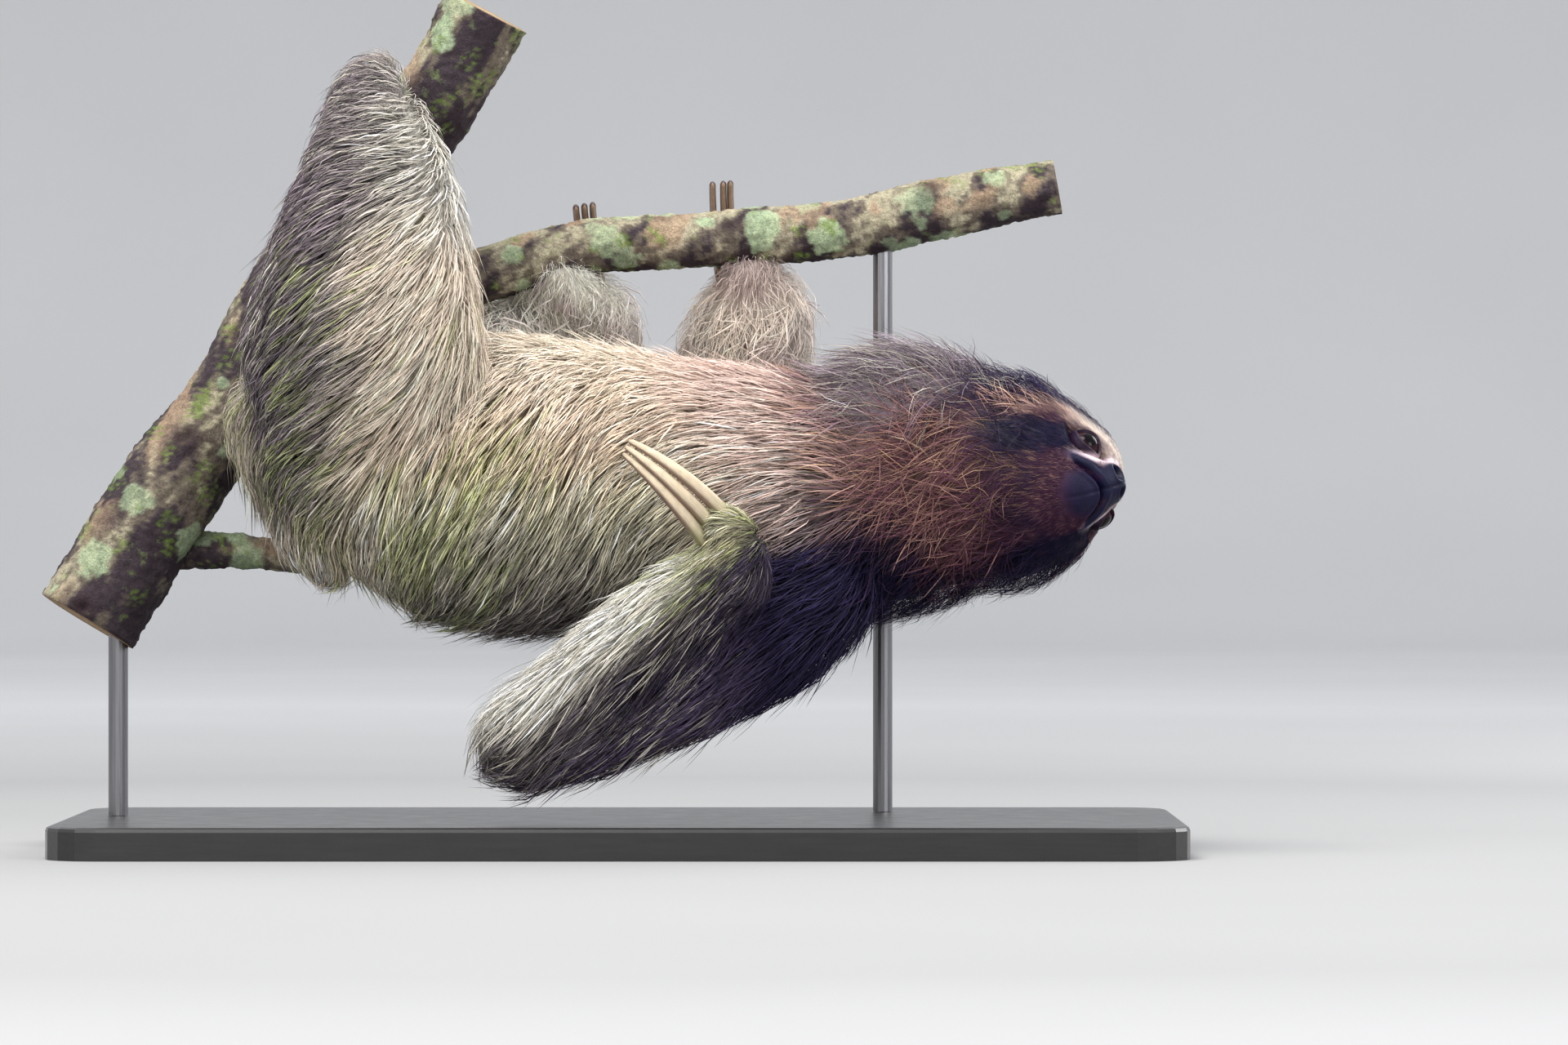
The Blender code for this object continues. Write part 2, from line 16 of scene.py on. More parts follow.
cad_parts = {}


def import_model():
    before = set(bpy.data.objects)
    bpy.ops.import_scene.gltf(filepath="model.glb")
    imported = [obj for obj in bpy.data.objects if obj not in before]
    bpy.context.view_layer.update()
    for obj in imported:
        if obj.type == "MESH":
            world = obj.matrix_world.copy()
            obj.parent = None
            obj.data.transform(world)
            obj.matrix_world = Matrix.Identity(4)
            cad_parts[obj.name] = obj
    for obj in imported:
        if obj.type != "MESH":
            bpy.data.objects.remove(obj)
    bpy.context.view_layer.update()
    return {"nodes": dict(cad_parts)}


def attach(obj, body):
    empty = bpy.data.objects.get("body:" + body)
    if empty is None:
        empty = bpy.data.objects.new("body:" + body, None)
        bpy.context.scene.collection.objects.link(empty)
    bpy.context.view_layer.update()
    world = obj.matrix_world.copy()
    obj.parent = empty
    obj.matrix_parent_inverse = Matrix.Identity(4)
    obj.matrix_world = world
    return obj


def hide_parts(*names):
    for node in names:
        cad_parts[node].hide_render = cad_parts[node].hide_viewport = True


def tenths(*rows):
    """Lengths given in tenths of a millimetre, as metres."""
    return np.array(rows) / 10000


# ---------- the animal's plan, as in the CAD
# Trunk sections: x, z of the centre, half height, half width.
BODY = tenths(
    (-1960, 2470, 340, 420), (-1800, 2360, 470, 550), (-1550, 2230, 600, 670), (-1170, 2140, 743, 770),
    (-720, 2057, 850, 810), (-270, 2025, 824, 810), (180, 2003, 779, 770), (630, 1971, 740, 740),
    (1080, 1950, 710, 710), (1380, 1970, 700, 640),
)
# All others: x, y, z of the centre, and two half widths, as seen from the side and across.
NECK = tenths(
    (1180, 0, 1965, 700, 650), (1410, 0, 2005, 765, 645), (1620, -20, 2060, 775, 630),
    (1890, -50, 2050, 715, 620), (2090, -80, 2030, 600, 560),
)
TAIL = tenths((-1810, 0, 2050, 240, 260), (-1730, 0, 1800, 240, 260), (-1630, 0, 1630, 180, 210))
LEFT_LEG = tenths(
    (-1530, -280, 2120, 340, 300), (-1480, -380, 2400, 570, 400), (-1420, -500, 2680, 690, 430),
    (-1380, -620, 3000, 650, 430), (-1350, -680, 3320, 570, 410), (-1330, -660, 3640, 475, 380),
    (-1340, -570, 3960, 360, 330), (-1370, -430, 4140, 280, 290), (-1360, -260, 4240, 220, 260),
)
RIGHT_LEG = tenths(
    (-1320, 300, 2360, 440, 400), (-960, 560, 2540, 500, 420), (-620, 840, 2680, 480, 380),
    (-340, 1040, 2740, 420, 340), (-330, 960, 2900, 440, 330), (-340, 820, 3040, 430, 290),
    (-330, 700, 3120, 400, 240), (-300, 580, 3160, 320, 200),
)
LEFT_ARM = tenths(
    (1080, -340, 1520, 420, 360), (840, -460, 1300, 435, 370), (340, -600, 1010, 400, 360),
    (-160, -710, 770, 360, 330), (-490, -780, 640, 310, 320),
)
LEFT_FOREARM = tenths(
    (-490, -780, 640, 310, 320), (-60, -840, 980, 335, 330), (200, -880, 1225, 315, 310),
    (420, -930, 1410, 285, 280), (600, -980, 1540, 250, 260),
)
LEFT_HAND = tenths(
    (600, -980, 1540, 250, 260), (630, -1010, 1680, 205, 230), (590, -1040, 1780, 155, 180),
    (540, -1060, 1825, 120, 140),
)
RIGHT_ARM = tenths(
    (1040, 360, 1840, 440, 420), (880, 740, 1870, 410, 390), (600, 1180, 1900, 360, 350),
    (370, 1560, 1920, 310, 310),
)
RIGHT_FOREARM = tenths(
    (370, 1560, 1920, 310, 310), (510, 1320, 2300, 360, 340), (640, 1040, 2660, 400, 340),
    (725, 820, 2980, 375, 310), (730, 740, 3120, 310, 270), (710, 670, 3230, 240, 220),
)
HEAD_CENTRE = tenths(2105, -180, 2046)
HEAD_TURN, HEAD_LIFT, HEAD_ROLL = (math.radians(angle) for angle in (19.0, 6.0, 72.0))
HEAD_RADII = tenths(645, 645, 590)
HEAD_SWELLS = (  # direction (ahead, to the animal's right, up), height, spread in degrees
    ((0.93, 0.0, -0.37), 0.017, 20.0), ((0.86, 0.0, 0.3), 0.007, 26.0),
    ((0.9, 0.38, -0.02), -0.0045, 20.0), ((0.9, -0.38, -0.02), -0.0045, 20.0),
)
PARTS = {  # name: rows, how deep the coat stands over the skin, hair length, the way that the hair lies
    "tail": (TAIL, 0.008, 0.03, (-0.15, 0.0, -1.0)),
    "leg_left": (LEFT_LEG, 0.01, 0.04, None),
    "leg_right": (RIGHT_LEG, 0.009, 0.034, (-0.15, 0.0, -1.0)),
    "arm_left": (LEFT_ARM, 0.01, 0.044, (-0.85, 0.0, -0.45)),
    "forearm_left": (LEFT_FOREARM, 0.0085, 0.036, (-0.72, 0.0, -0.7)),
    "hand_left": (LEFT_HAND, 0.005, 0.018, (-0.92, 0.0, -0.4)),
    "arm_right": (RIGHT_ARM, 0.01, 0.036, (0.45, -0.45, -0.75)),
    "forearm_right": (RIGHT_FOREARM, 0.009, 0.032, (-0.25, 0.1, -1.0)),
}
BODY_DEPTH, BODY_HAIR = 0.0125, 0.044
NECK_DEPTH, NECK_HAIR = 0.0135, 0.04
REGIONS = ("body", "neck", "head") + tuple(PARTS)

# The perch: x, y, z of the centre, radius.
STEM = tenths(
    (-3000, 200, 1270, 300), (-2610, 280, 1920, 300), (-2220, 400, 2490, 265), (-1870, 400, 3130, 250),
    (-1490, 240, 3620, 240), (-1080, 60, 4120, 240), (-890, 20, 4430, 245), (-760, 0, 4670, 250),
)
BRANCH = tenths(
    (-2050, 420, 2720, 170), (-1400, 520, 3000, 165), (-720, 600, 3250, 160), (-230, 640, 3380, 158),
    (200, 660, 3410, 158), (650, 680, 3440, 162), (1080, 710, 3470, 165), (1460, 740, 3530, 178),
    (1900, 740, 3630, 170), (2450, 720, 3730, 160),
)
STUMP = tenths((-2500, 340, 1670, 115), (-2150, 360, 1660, 100), (-1800, 360, 1620, 90))


# ---------- numbers and meshes
FULL_TURN = 6.283


def unit(rows):
    return rows / np.maximum(np.linalg.norm(rows, axis=-1, keepdims=True), 1e-12)


def ease(values, low, high):
    share = np.clip((values - low) / (high - low), 0.0, 1.0)
    return share * share * (3 - 2 * share)


def fade(values, low, high):
    return 1 - ease(values, low, high)


def bell(values, width):
    return np.exp(-((values / width) ** 2))


def hill(points, centre, radii, height):
    return height * np.exp(-(((points - centre) / radii) ** 2).sum(-1))


def lumps(points, size, seed, waves=7):
    """Smooth uneven values from about -1 to 1, which change over distances near size."""
    draw = np.random.default_rng(seed)
    total = np.zeros(len(points))
    for _ in range(waves):
        way = unit(draw.normal(size=3))
        rate = 2 * math.pi / size * draw.uniform(0.6, 1.6)
        total += np.sin(points @ way * rate + draw.uniform(0, FULL_TURN))
    return np.tanh(total / math.sqrt(waves / 2) * 0.8)


def spline(values, count):
    """A smooth curve through the rows of values, read at count even places."""
    last = len(values) - 1
    at = np.linspace(0, last, count)
    i = np.minimum(at.astype(int), last - 1)
    t = (at - i)[:, None]
    before, here = values[np.maximum(i - 1, 0)], values[i]
    there, after = values[i + 1], values[np.minimum(i + 2, last)]
    return 0.5 * (
        2 * here + (there - before) * t + (2 * before - 5 * here + 4 * there - after) * t**2
        + (3 * here - before - 3 * there + after) * t**3
    )


def walk(line):
    """The distance along a line to each of its points."""
    return np.concatenate([[0], np.cumsum(np.linalg.norm(np.diff(line, axis=0), axis=1))])


def columns(*values):
    return np.stack(values, axis=1)


def circle(segments):
    return 2 * math.pi * np.arange(segments) / segments


def ring_faces(rings, segments, inward=False):
    """Faces round rings of points, closed at both ends by the two points that follow the rings."""
    faces, first = [], rings * segments
    top = first - segments
    for low in range(0, top, segments):
        high = low + segments
        for k in range(segments):
            n = (k + 1) % segments
            sides = (low + n, high + n, high + k) if inward else (high + k, high + n, low + n)
            faces.append((low + k, *sides))
    for k in range(segments):
        n = (k + 1) % segments
        a, b = (n, k) if inward else (k, n)
        faces += [(a, b, first), (top + b, top + a, first + 1)]
    return faces


CAP_SPAN = 3.35  # a quarter turn over this many steps rounds an end


def tube(centres, across, deep, segments, side=(0, 1, 0), rounds=(0.0, 0.0), shape=None):
    """Points and faces of a closed form round a line of centres: oval sections, round or flat ends."""
    tangents = unit(np.gradient(centres, axis=0))
    rows = [(i, 0.0, 1.0) for i in range(len(centres))]
    for k in (1, 2, 3):
        turn = math.pi / 2 * k / CAP_SPAN
        caps = ((0, -rounds[0]), (len(centres) - 1, rounds[1]))
        start, end = ([(i, reach * math.sin(turn), math.cos(turn))] if reach else [] for i, reach in caps)
        rows = start + rows + end
    turns = circle(segments)
    points = []
    for i, shift, scale in rows:
        v = unit(np.array(side) - tangents[i] * tangents[i].dot(side))
        u = np.cross(v, tangents[i])
        ring = np.outer(np.cos(turns) * across[i], u) + np.outer(np.sin(turns) * deep[i], v)
        if shape is not None:
            ring *= shape(turns)[:, None]
        points.append(centres[i] + tangents[i] * shift + ring * scale)
    points.append([centres[0] - tangents[0] * rounds[0], centres[-1] + tangents[-1] * rounds[1]])
    return np.concatenate(points), ring_faces(len(rows), segments, True)


def swept(rows, depth, segments, count, rounds=None):
    """A closed form along rows of centre and two half widths, lower than them by depth."""
    smooth = spline(rows, count)
    across, deep = smooth[:, -2] - depth, smooth[:, -1] - depth
    if rounds is None:
        rounds = [min(across[k], deep[k]) * 0.85 for k in (0, -1)]
    return tube(smooth[:, :3], across, deep, segments, rounds=rounds)


def place(made, smooth=True):
    bpy.context.scene.collection.objects.link(made)
    if smooth:
        made.data.shade_smooth()
    return made


def new_object(name, points, faces, outward=True):
    data = bpy.data.meshes.new(name)
    data.from_pydata(np.asarray(points).tolist(), [], faces)
    if outward:
        data.validate()
        mesh = bmesh.new()
        mesh.from_mesh(data)
        bmesh.ops.recalc_face_normals(mesh, faces=mesh.faces)
        if mesh.calc_volume(signed=True) < 0:
            bmesh.ops.reverse_faces(mesh, faces=mesh.faces)
        mesh.to_mesh(data)
        mesh.free()
    return place(bpy.data.objects.new(name, data))


def hand_in(made, finish, slot, *replaced):
    """Gives a piece its material, hangs it under the root and hides the CAD parts that it replaces."""
    made.data.materials.append(finish)
    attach(made, "root")
    if replaced:
        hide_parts(*replaced)


def joined(forms):
    """Several (points, faces) as one."""
    faces, start = [], 0
    for some, their in forms:
        faces += [tuple(int(i) + start for i in face) for face in their]
        start += len(some)
    return np.concatenate([some for some, _ in forms]), faces


def fetch(items, key, width, kind=np.float32):
    found = np.empty(len(items) * width, kind)
    items.foreach_get(key, found)
    return found


def store(items, key, values, kind=np.float32):
    items.foreach_set(key, np.asarray(values).astype(kind).ravel())


def coordinates(data):
    return fetch(data.vertices, "co", 3).reshape(-1, 3).astype(float)


def paint(data, name, colours):
    """Stores a colour on every vertex."""
    layer = data.color_attributes.new(name, "FLOAT_COLOR", "POINT")
    store(layer.data, "color", np.insert(colours, 3, 1.0, axis=1))


def linear(*rgb):
    """Colours given as 0 to 255 on a screen, as light."""
    c = np.array(rgb, float) / 255
    return np.where(c <= 0.04045, c / 12.92, ((c + 0.055) / 1.055) ** 2.4)


def mix(a, b, share):
    share = np.asarray(share)[:, None]
    return a * (1 - share) + b * share


def lay(colour, count, *layers):
    """A plain colour for count points with other colours over it, each with its share at every point."""
    colour = np.tile(colour, (count, 1))
    for tone, share in layers:
        colour = mix(colour, tone, share)
    return colour


# ---------- the head's own axes
def head_axes():
    turn, lift, roll = HEAD_TURN, HEAD_LIFT, HEAD_ROLL
    ahead = np.array((math.cos(turn) * math.cos(lift), -math.sin(turn) * math.cos(lift), math.sin(lift)))
    level = np.array((-math.sin(turn), -math.cos(turn), 0.0))
    right = level * math.cos(roll) + np.cross(level, ahead) * math.sin(roll)
    return np.array((ahead, right, np.cross(right, ahead)))


AXES = head_axes()
FACE_AIM = unit(np.array((0.9, 0.0, -0.36)))
# Places on the face, in the head's axes. The left side mirrors the right.
EYE_OPENING = tenths(606, 236, -185)
EYE_AIM = unit(np.array((0.7, 0.66, -0.32)))
EYE_RADIUS, EYE_BULGE, EYE_STANDS_OUT = 0.0092, 0.0006, 0.0012
EYE_HALF_LENGTH, EYE_HALF_HEIGHT = 0.0088, 0.0056
NOSTRIL, NOSTRIL_TILT = tenths(0, 58, -262), math.radians(24)
MOUTH = tenths(
    (690, 0, -368), (672, 60, -370), (630, 118, -372), (575, 160, -368), (515, 195, -350), (462, 222, -325),
)


def to_head(points):
    return (points - HEAD_CENTRE) @ AXES.T


def from_head(points):
    return np.asarray(points) @ AXES + HEAD_CENTRE


def off_face(ways):
    """The angle from the middle of the face, in degrees."""
    return np.degrees(np.arccos(np.clip(ways @ FACE_AIM, -1, 1)))


def head_reach(ways):
    reach = 1 / np.sqrt(((ways / HEAD_RADII) ** 2).sum(-1))
    for aim, height, spread in HEAD_SWELLS:
        angle = np.arccos(np.clip(ways @ unit(np.array(aim)), -1, 1))
        reach = reach + height * bell(angle, math.radians(spread))
    return reach


def head_depth(ways):
    """How far the coat stands over the head: thin on the face, deep on cheeks, throat and crown."""
    return 0.0015 + 0.0085 * ease(off_face(ways), 24, 72)


def distance_to_line(points, line):
    best = np.full(len(points), 1e9)
    for a, b in zip(line, line[1:]):
        way = b - a
        t = np.clip(((points - a) @ way) / (way @ way), 0, 1)
        best = np.minimum(best, np.linalg.norm(points - a - t[:, None] * way, axis=1))
    return best


def face_relief(base):
    """How far the bare face rises over or sinks under its plain form, for places on that form."""
    p = base * (1, 0, 1) + np.abs(base) * (0, 1, 0)
    x, y, z = p.T
    front = ease(x, 0.045, 0.055)
    rise = hill(p, (0.0755, 0.0, -0.0262), (0.02, 0.0115, 0.0078), 0.003)
    pad = (y / 0.0128) ** 2 + ((z + 0.027) / 0.0088) ** 2
    rise += 0.0007 / (1 + np.exp(np.clip((pad - 1) * 9, -40, 40)))
    flat, cosine, sine = p - NOSTRIL, math.cos(NOSTRIL_TILT), math.sin(NOSTRIL_TILT)
    along, over = flat[:, 1] * cosine + flat[:, 2] * sine, -flat[:, 1] * sine + flat[:, 2] * cosine
    hole = np.sqrt((along / 0.0033) ** 2 + (over / 0.0021) ** 2)
    rise += (0.0008 * bell(hole - 1.45, 0.42) - 0.0052 * np.exp(-(hole**2.6))) * front
    rise -= 0.0006 * bell(y, 0.0011) * ease(-z, 0.0285, 0.031) * front
    gap = distance_to_line(p, MOUTH)
    rise += 0.0009 * bell(gap - 0.0032, 0.0014) - 0.0038 * bell(gap, 0.0012)
    for centre, radii, height in (
        ((0.059, 0.0, -0.044), (0.014, 0.015, 0.0065), 0.0028),
        ((0.063, 0.016, -0.0315), (0.01, 0.007, 0.005), 0.0016),
        (EYE_OPENING, (0.012, 0.0115, 0.0115), -0.003),
        ((0.061, 0.021, -0.005), (0.014, 0.014, 0.006), 0.0022),
        ((0.072, 0.0, -0.011), (0.012, 0.006, 0.011), -0.001),
    ):
        rise += hill(p, centre, radii, height)
    return rise


def eye_frame(side):
    """The eyeball's centre and its axes along, across and out, in the head's axes. 1 is right, -1 left."""
    flip = np.array((1.0, side, 1.0))
    out = EYE_AIM * flip
    centre = EYE_OPENING * flip - out * (EYE_RADIUS - EYE_STANDS_OUT)
    long_way = np.array((0.68, -0.68 * side, -0.27))
    along = unit(long_way - out * long_way.dot(out))
    return centre, along, np.cross(out, along), out


LID, LID_REACH, LID_BACK = 0.001, 0.0165, -0.004  # thickness, and the skin that it takes in round the eyeball
EYE_SOCKET = 0.003  # how deep the hidden skin lies under the eyeball


def wrap_lids(points, side):
    """Draws the skin over the eyeball as two lids with an almond opening between them."""
    centre, *axes = eye_frame(side)
    x, y, z = ((points - centre) @ axis for axis in axes)
    near = (np.hypot(x, y) < LID_REACH) & (z > LID_BACK)
    x, y, z = x[near], y[near], z[near]
    almond = ((np.abs(x) / EYE_HALF_LENGTH) ** 1.5 + (np.abs(y) / EYE_HALF_HEIGHT) ** 1.5) ** (1 / 1.5)
    flat = x * x + y * y
    lid = EYE_RADIUS + LID + 0.0007 * bell(almond - 1.12, 0.14) - 0.0008 * bell(almond - 1.62, 0.16)
    over = np.sqrt(np.maximum(lid * lid - flat, 0.0))
    under = np.sqrt(np.maximum((EYE_RADIUS - EYE_SOCKET) ** 2 - flat, 0.0)) - LID
    blend = ease(almond, 1.35, 2.15)
    wanted = np.where(almond < 1.0, under, over * (1 - blend) + np.maximum(z, over * (1 - blend)) * blend)
    moved = points.copy()
    moved[near] = centre + columns(x, y, wanted) @ np.array(axes)
    return moved


# ---------- the skin
SKIN_VOXEL, SMOOTHING_ROUNDS = 0.0028, 9
BODY_END, NECK_END = (0.019 - BODY_DEPTH * 0.6, 0.02 - BODY_DEPTH * 0.6), (0.004, 0.004)
# Degrees from the middle of the face: where the mesh is finer, finer still, and where its form fades out.
FINE_FACE, FINER_FACE, FACE_EDGE = 50, 33, (55, 80)
HEAD_LIMIT = 0.1
MUZZLE, MUZZLE_REACH, EYE_REACH = (0.069, 0.004, -0.032), 0.015, 0.013


def head_form(rings=72, segments=96):
    spins = circle(segments)
    ways = [
        columns(np.full(segments, math.cos(t)), math.sin(t) * np.cos(spins), math.sin(t) * np.sin(spins))
        for t in np.linspace(0, math.pi, rings + 2)[1:-1]
    ]
    ways = np.concatenate(ways + [np.array([[1.0, 0, 0], [-1.0, 0, 0]])])
    return from_head(ways * (head_reach(ways) - head_depth(ways))[:, None]), ring_faces(rings, segments)


def flesh_forms():
    trunk = columns(BODY[:, 0], 0 * BODY[:, 0], *BODY.T[1:])
    forms = [swept(trunk, BODY_DEPTH, 44, 46, BODY_END), swept(NECK, NECK_DEPTH, 44, 26, NECK_END)]
    forms.append(head_form())
    return forms + [swept(rows, depth, 20, 4 * len(rows) - 3) for rows, depth, _, _ in PARTS.values()]


def on_face(limit):
    def chosen(own):
        return own[0] > 0.01 and unit(own) @ FACE_AIM > math.cos(math.radians(limit))
    return chosen


def by_features(own):
    own = np.array((own[0], abs(own[1]), own[2]))
    return np.linalg.norm(own - EYE_OPENING) < EYE_REACH or np.linalg.norm(own - MUZZLE) < MUZZLE_REACH


def build_skin():
    """One closed skin over all the flesh, with the face shaped on a finer mesh."""
    source = new_object("skin_forms", *joined(flesh_forms()))
    change = source.modifiers.new("remesh", "REMESH")
    change.mode, change.voxel_size = "VOXEL", SKIN_VOXEL
    change = source.modifiers.new("smooth", "SMOOTH")
    change.factor, change.iterations = 0.5, SMOOTHING_ROUNDS
    bpy.context.view_layer.update()
    data = bpy.data.meshes.new_from_object(source.evaluated_get(bpy.context.evaluated_depsgraph_get()))
    bpy.data.objects.remove(source)
    mesh = bmesh.new()
    mesh.from_mesh(data)
    for chosen in (on_face(FINE_FACE), on_face(FINER_FACE), by_features):
        faces = [face for face in mesh.faces if chosen(to_head(np.array(face.calc_center_median())[None])[0])]
        edges = {edge for face in faces for edge in face.edges}
        bmesh.ops.subdivide_edges(mesh, edges=list(edges), cuts=1, use_grid_fill=True)
    bmesh.ops.triangulate(mesh, faces=[face for face in mesh.faces if len(face.verts) > 4])
    mesh.to_mesh(data)
    mesh.free()
    own = to_head(coordinates(data))
    ways = unit(own)
    reach = head_reach(ways)
    bare = reach - head_depth(ways) + face_relief(ways * reach[:, None])
    weight = fade(off_face(ways), *FACE_EDGE) * (np.linalg.norm(own, axis=1) < HEAD_LIMIT)
    own = own + (ways * bare[:, None] - own) * weight[:, None]
    for side in (1, -1):
        own = wrap_lids(own, side)
    store(data.vertices, "co", from_head(own))
    data.update()
    return place(bpy.data.objects.new("skin", data))


# ---------- where a point belongs
NECK_START, END_REACH = 0.14, 0.03  # x where the neck's axis begins; how soon a place past an end is far
NECK_LEAD, BLEND_WIDTH = 0.98, 0.05  # the neck wins ties; how softly regions run into each other
CHAINS = {name: spline(rows, len(rows) * 6) for name, (rows, *_) in PARTS.items()}


def closeness(points):
    """For each region, a distance from its axis that is 1 at the coat's tips, and the way along."""
    found = {}
    for name, rows, first in (("body", BODY, BODY[0, 0]), ("neck", NECK, NECK_START)):
        x = np.clip(points[:, 0], first, rows[-1, 0])
        *y, z, tall, wide = (np.interp(x, rows[:, 0], column) for column in rows.T[1:])
        off = points[:, 1] - y[0] if y else points[:, 1]
        past = (points[:, 0] - x) / END_REACH
        found[name] = np.sqrt(((points[:, 2] - z) / tall) ** 2 + (off / wide) ** 2 + past**2), x
    own = to_head(points)
    found["head"] = np.linalg.norm(own, axis=1) / head_reach(unit(own)), own[:, 0]
    for name, rows in CHAINS.items():
        best, along = np.full(len(points), 1e9), np.zeros(len(points))
        for k, row in enumerate(rows):
            away = np.linalg.norm(points - row[:3], axis=1) / (0.5 * (row[3] + row[4]))
            nearer = away < best
            best, along = np.where(nearer, away, best), np.where(nearer, k / (len(rows) - 1), along)
        found[name] = best, along
    return found


class Shares(dict):
    """How much of each region a point belongs to, by name, with how far along its region it is."""

    def __init__(self, points):
        found = closeness(points)
        near = columns(*(found[name][0] for name in REGIONS))
        near[:, 1] *= NECK_LEAD
        weights = np.exp(-(near - near.min(axis=1, keepdims=True)) / BLEND_WIDTH)
        self.weights = weights / weights.sum(axis=1, keepdims=True)
        self.along = {name: found[name][1] for name in REGIONS}
        super().__init__(zip(REGIONS, self.weights.T))

    def blend(self, values):
        return sum(self[name] * values[name] for name in REGIONS)


# ---------- the lie, length and depth of the coat
WHORL = (0.1206, 0.1955)  # x and z of the place on the breast from which the hair spreads


def lie_of_coat(points, share):
    """The direction in which the hair grows at each point, before it is laid on the skin."""
    x, y, z = points.T
    level, none = np.ones(len(x)), 0 * y
    lies = {name: np.outer(level, way) for name, (*_, way) in PARTS.items() if way}
    high, low = ease(z, 0.155, 0.225), fade(z, 0.15, 0.2)
    chest = ease(x, -0.03 + 0.05 * (1 - high), 0.085)
    rump = fade(x, -0.16, -0.06)
    lies["body"] = columns(-0.52 - 1.0 * chest + 0.2 * rump, none, -1.0 + 0.72 * chest * (0.4 + 0.6 * high))
    lies["neck"] = columns(-1.0 + 0.3 * low, none, -0.3 - 0.85 * low + 0.8 * ease(z, 0.235, 0.262))
    away = columns(x - WHORL[0], none, z - WHORL[1])
    whirl = 0.9 * np.exp(-((away**2).sum(1) / 0.017**2)) * (y < 0)
    for name in ("body", "neck"):
        lies[name] = unit(lies[name]) + unit(away) * whirl[:, None]
    # On the head the hair runs back from the nose and outward from the middle line.
    lies["head"] = unit((unit(to_head(points) - (0.074, 0.0, -0.02)) + (-0.9, 0.0, 0.0)) @ AXES)
    level = ease(z, 0.31, 0.39)
    fan = ease(x, -0.135, -0.085) * fade(z, 0.27, 0.33)
    rows = CHAINS["leg_left"]
    middle, half = (np.interp(z, rows[:, 2], rows[:, k]) for k in (0, 3))
    edge = 1 - 0.85 * ease((x - middle) / half, 0.45, 0.85) * ease(y, -0.1, -0.07)
    lies["leg_left"] = columns((-0.78 - 0.25 * level) * edge, none, -0.62 + 0.4 * level * edge - 0.35 * fan)
    return unit(sum(share[name][:, None] * unit(lies[name]) for name in REGIONS))


def waywardness(points, share):
    """How far locks turn from the lie, in radians: curly on throat and cheeks, combed on the belly."""
    curly = share["neck"] * (points[:, 2] < 0.262) + share["head"] * 0.9
    curly *= 1 - ease(to_head(points)[:, 0], 0.015, 0.05) * share["head"]
    return 0.12 + 0.55 * np.clip(curly, 0, 1) + 0.4 * (share["leg_right"] + share["forearm_right"])


def unruliness(points, share):
    """Share of hairs that stand away: most along the nape, the elbow and the lower edges."""
    x, _, z = points.T
    nape = ease(z, 0.243, 0.262) * ease(x, 0.115, 0.135)
    elbow = fade(share.along["forearm_left"], 0.05, 0.25) * share["forearm_left"]
    low = fade(z, 0.13, 0.155) * share["body"]
    face = ease(to_head(points)[:, 0], 0.02, 0.05) * share["head"]
    return np.clip(0.12 + 0.5 * nape + 0.25 * elbow + 0.18 * low - 0.06 * face, 0.02, 1)


def hair_length(points, share):
    lengths, z, along = {name: hair for name, (_, _, hair, _) in PARTS.items()}, points[:, 2], share.along
    lengths["body"] = BODY_HAIR - 0.01 * ease(z, 0.235, 0.275)
    lengths["neck"] = NECK_HAIR + 0.01 * ease(z, 0.235, 0.255)
    lengths["head"] = 0.0035 + 0.0265 * ease(off_face(unit(to_head(points))), 20, 66)
    reach = along["forearm_left"]
    lengths["forearm_left"] = 0.036 + 0.014 * fade(reach, 0.1, 0.4) - 0.012 * ease(reach, 0.7, 1.0)
    lengths["leg_left"] = 0.038 - 0.019 * ease(along["leg_left"], 0.4, 0.95)
    lengths["leg_right"] = 0.036 - 0.02 * ease(along["leg_right"], 0.6, 1.0)
    lengths["forearm_right"] = 0.034 - 0.018 * ease(along["forearm_right"], 0.6, 1.0)
    return share.blend(lengths)


def coat_depth(points, share):
    depths = {name: depth for name, (_, depth, _, _) in PARTS.items()}
    depths.update(body=BODY_DEPTH, neck=NECK_DEPTH, head=head_depth(unit(to_head(points))))
    depths["leg_left"] = 0.01 - 0.0035 * ease(share.along["leg_left"], 0.7, 1.0)
    return share.blend(depths)


# ---------- markings, with painted shade and a painted sheen
CREAM, SAND, STRAW, GREY, SLATE, DUSK = linear(
    (250, 232, 212), (230, 208, 184), (222, 215, 184), (156, 148, 142), (98, 88, 94), (80, 68, 94))
# The near-black violet in the next row is both dark fur and painted shade, on undersides that turn from the
# light.
ALGAE, ROSE, RUST, UMBER, DARK_AND_SHADE, OLIVE = linear(
    (166, 178, 108), (230, 204, 192), (126, 80, 92), (56, 20, 60), (17, 7, 54), (160, 154, 122))
SHADE, FROST, STEEL, PLUM, AMBER, GOLD = linear(
    (60, 50, 72), (206, 200, 182), (136, 122, 132), (42, 18, 48), (232, 187, 172), (178, 144, 116))
PALE, BONE, MIST, INK = linear((244, 226, 216), (252, 246, 230), (236, 214, 222), (9, 3, 42))

# Lines on the face, in the head's axes.
BROW_BAND = tenths(
    (700, 0, 60), (656, 146, 40), (540, 330, -5), (460, 430, -95), (373, 500, -175), (152, 560, -300))
EYE_STRIPE = tenths((540, 290, -260), (450, 330, -310), (359, 368, -358), (223, 394, -420))
CHEEK_STREAK = tenths((405, 253, -411), (315, 129, -506), (225, 34, -553))
UPPER_LIP = tenths((700, 80, -335), (640, 140, -345), (575, 180, -345), (520, 208, -332))
# Along the next line the bare muzzle skin between eye and nose carries a painted sheen.
SHEEN_LINE = tenths((568, 206, -337), (640, 175, -305), (700, 120, -240), (743, 40, -120))


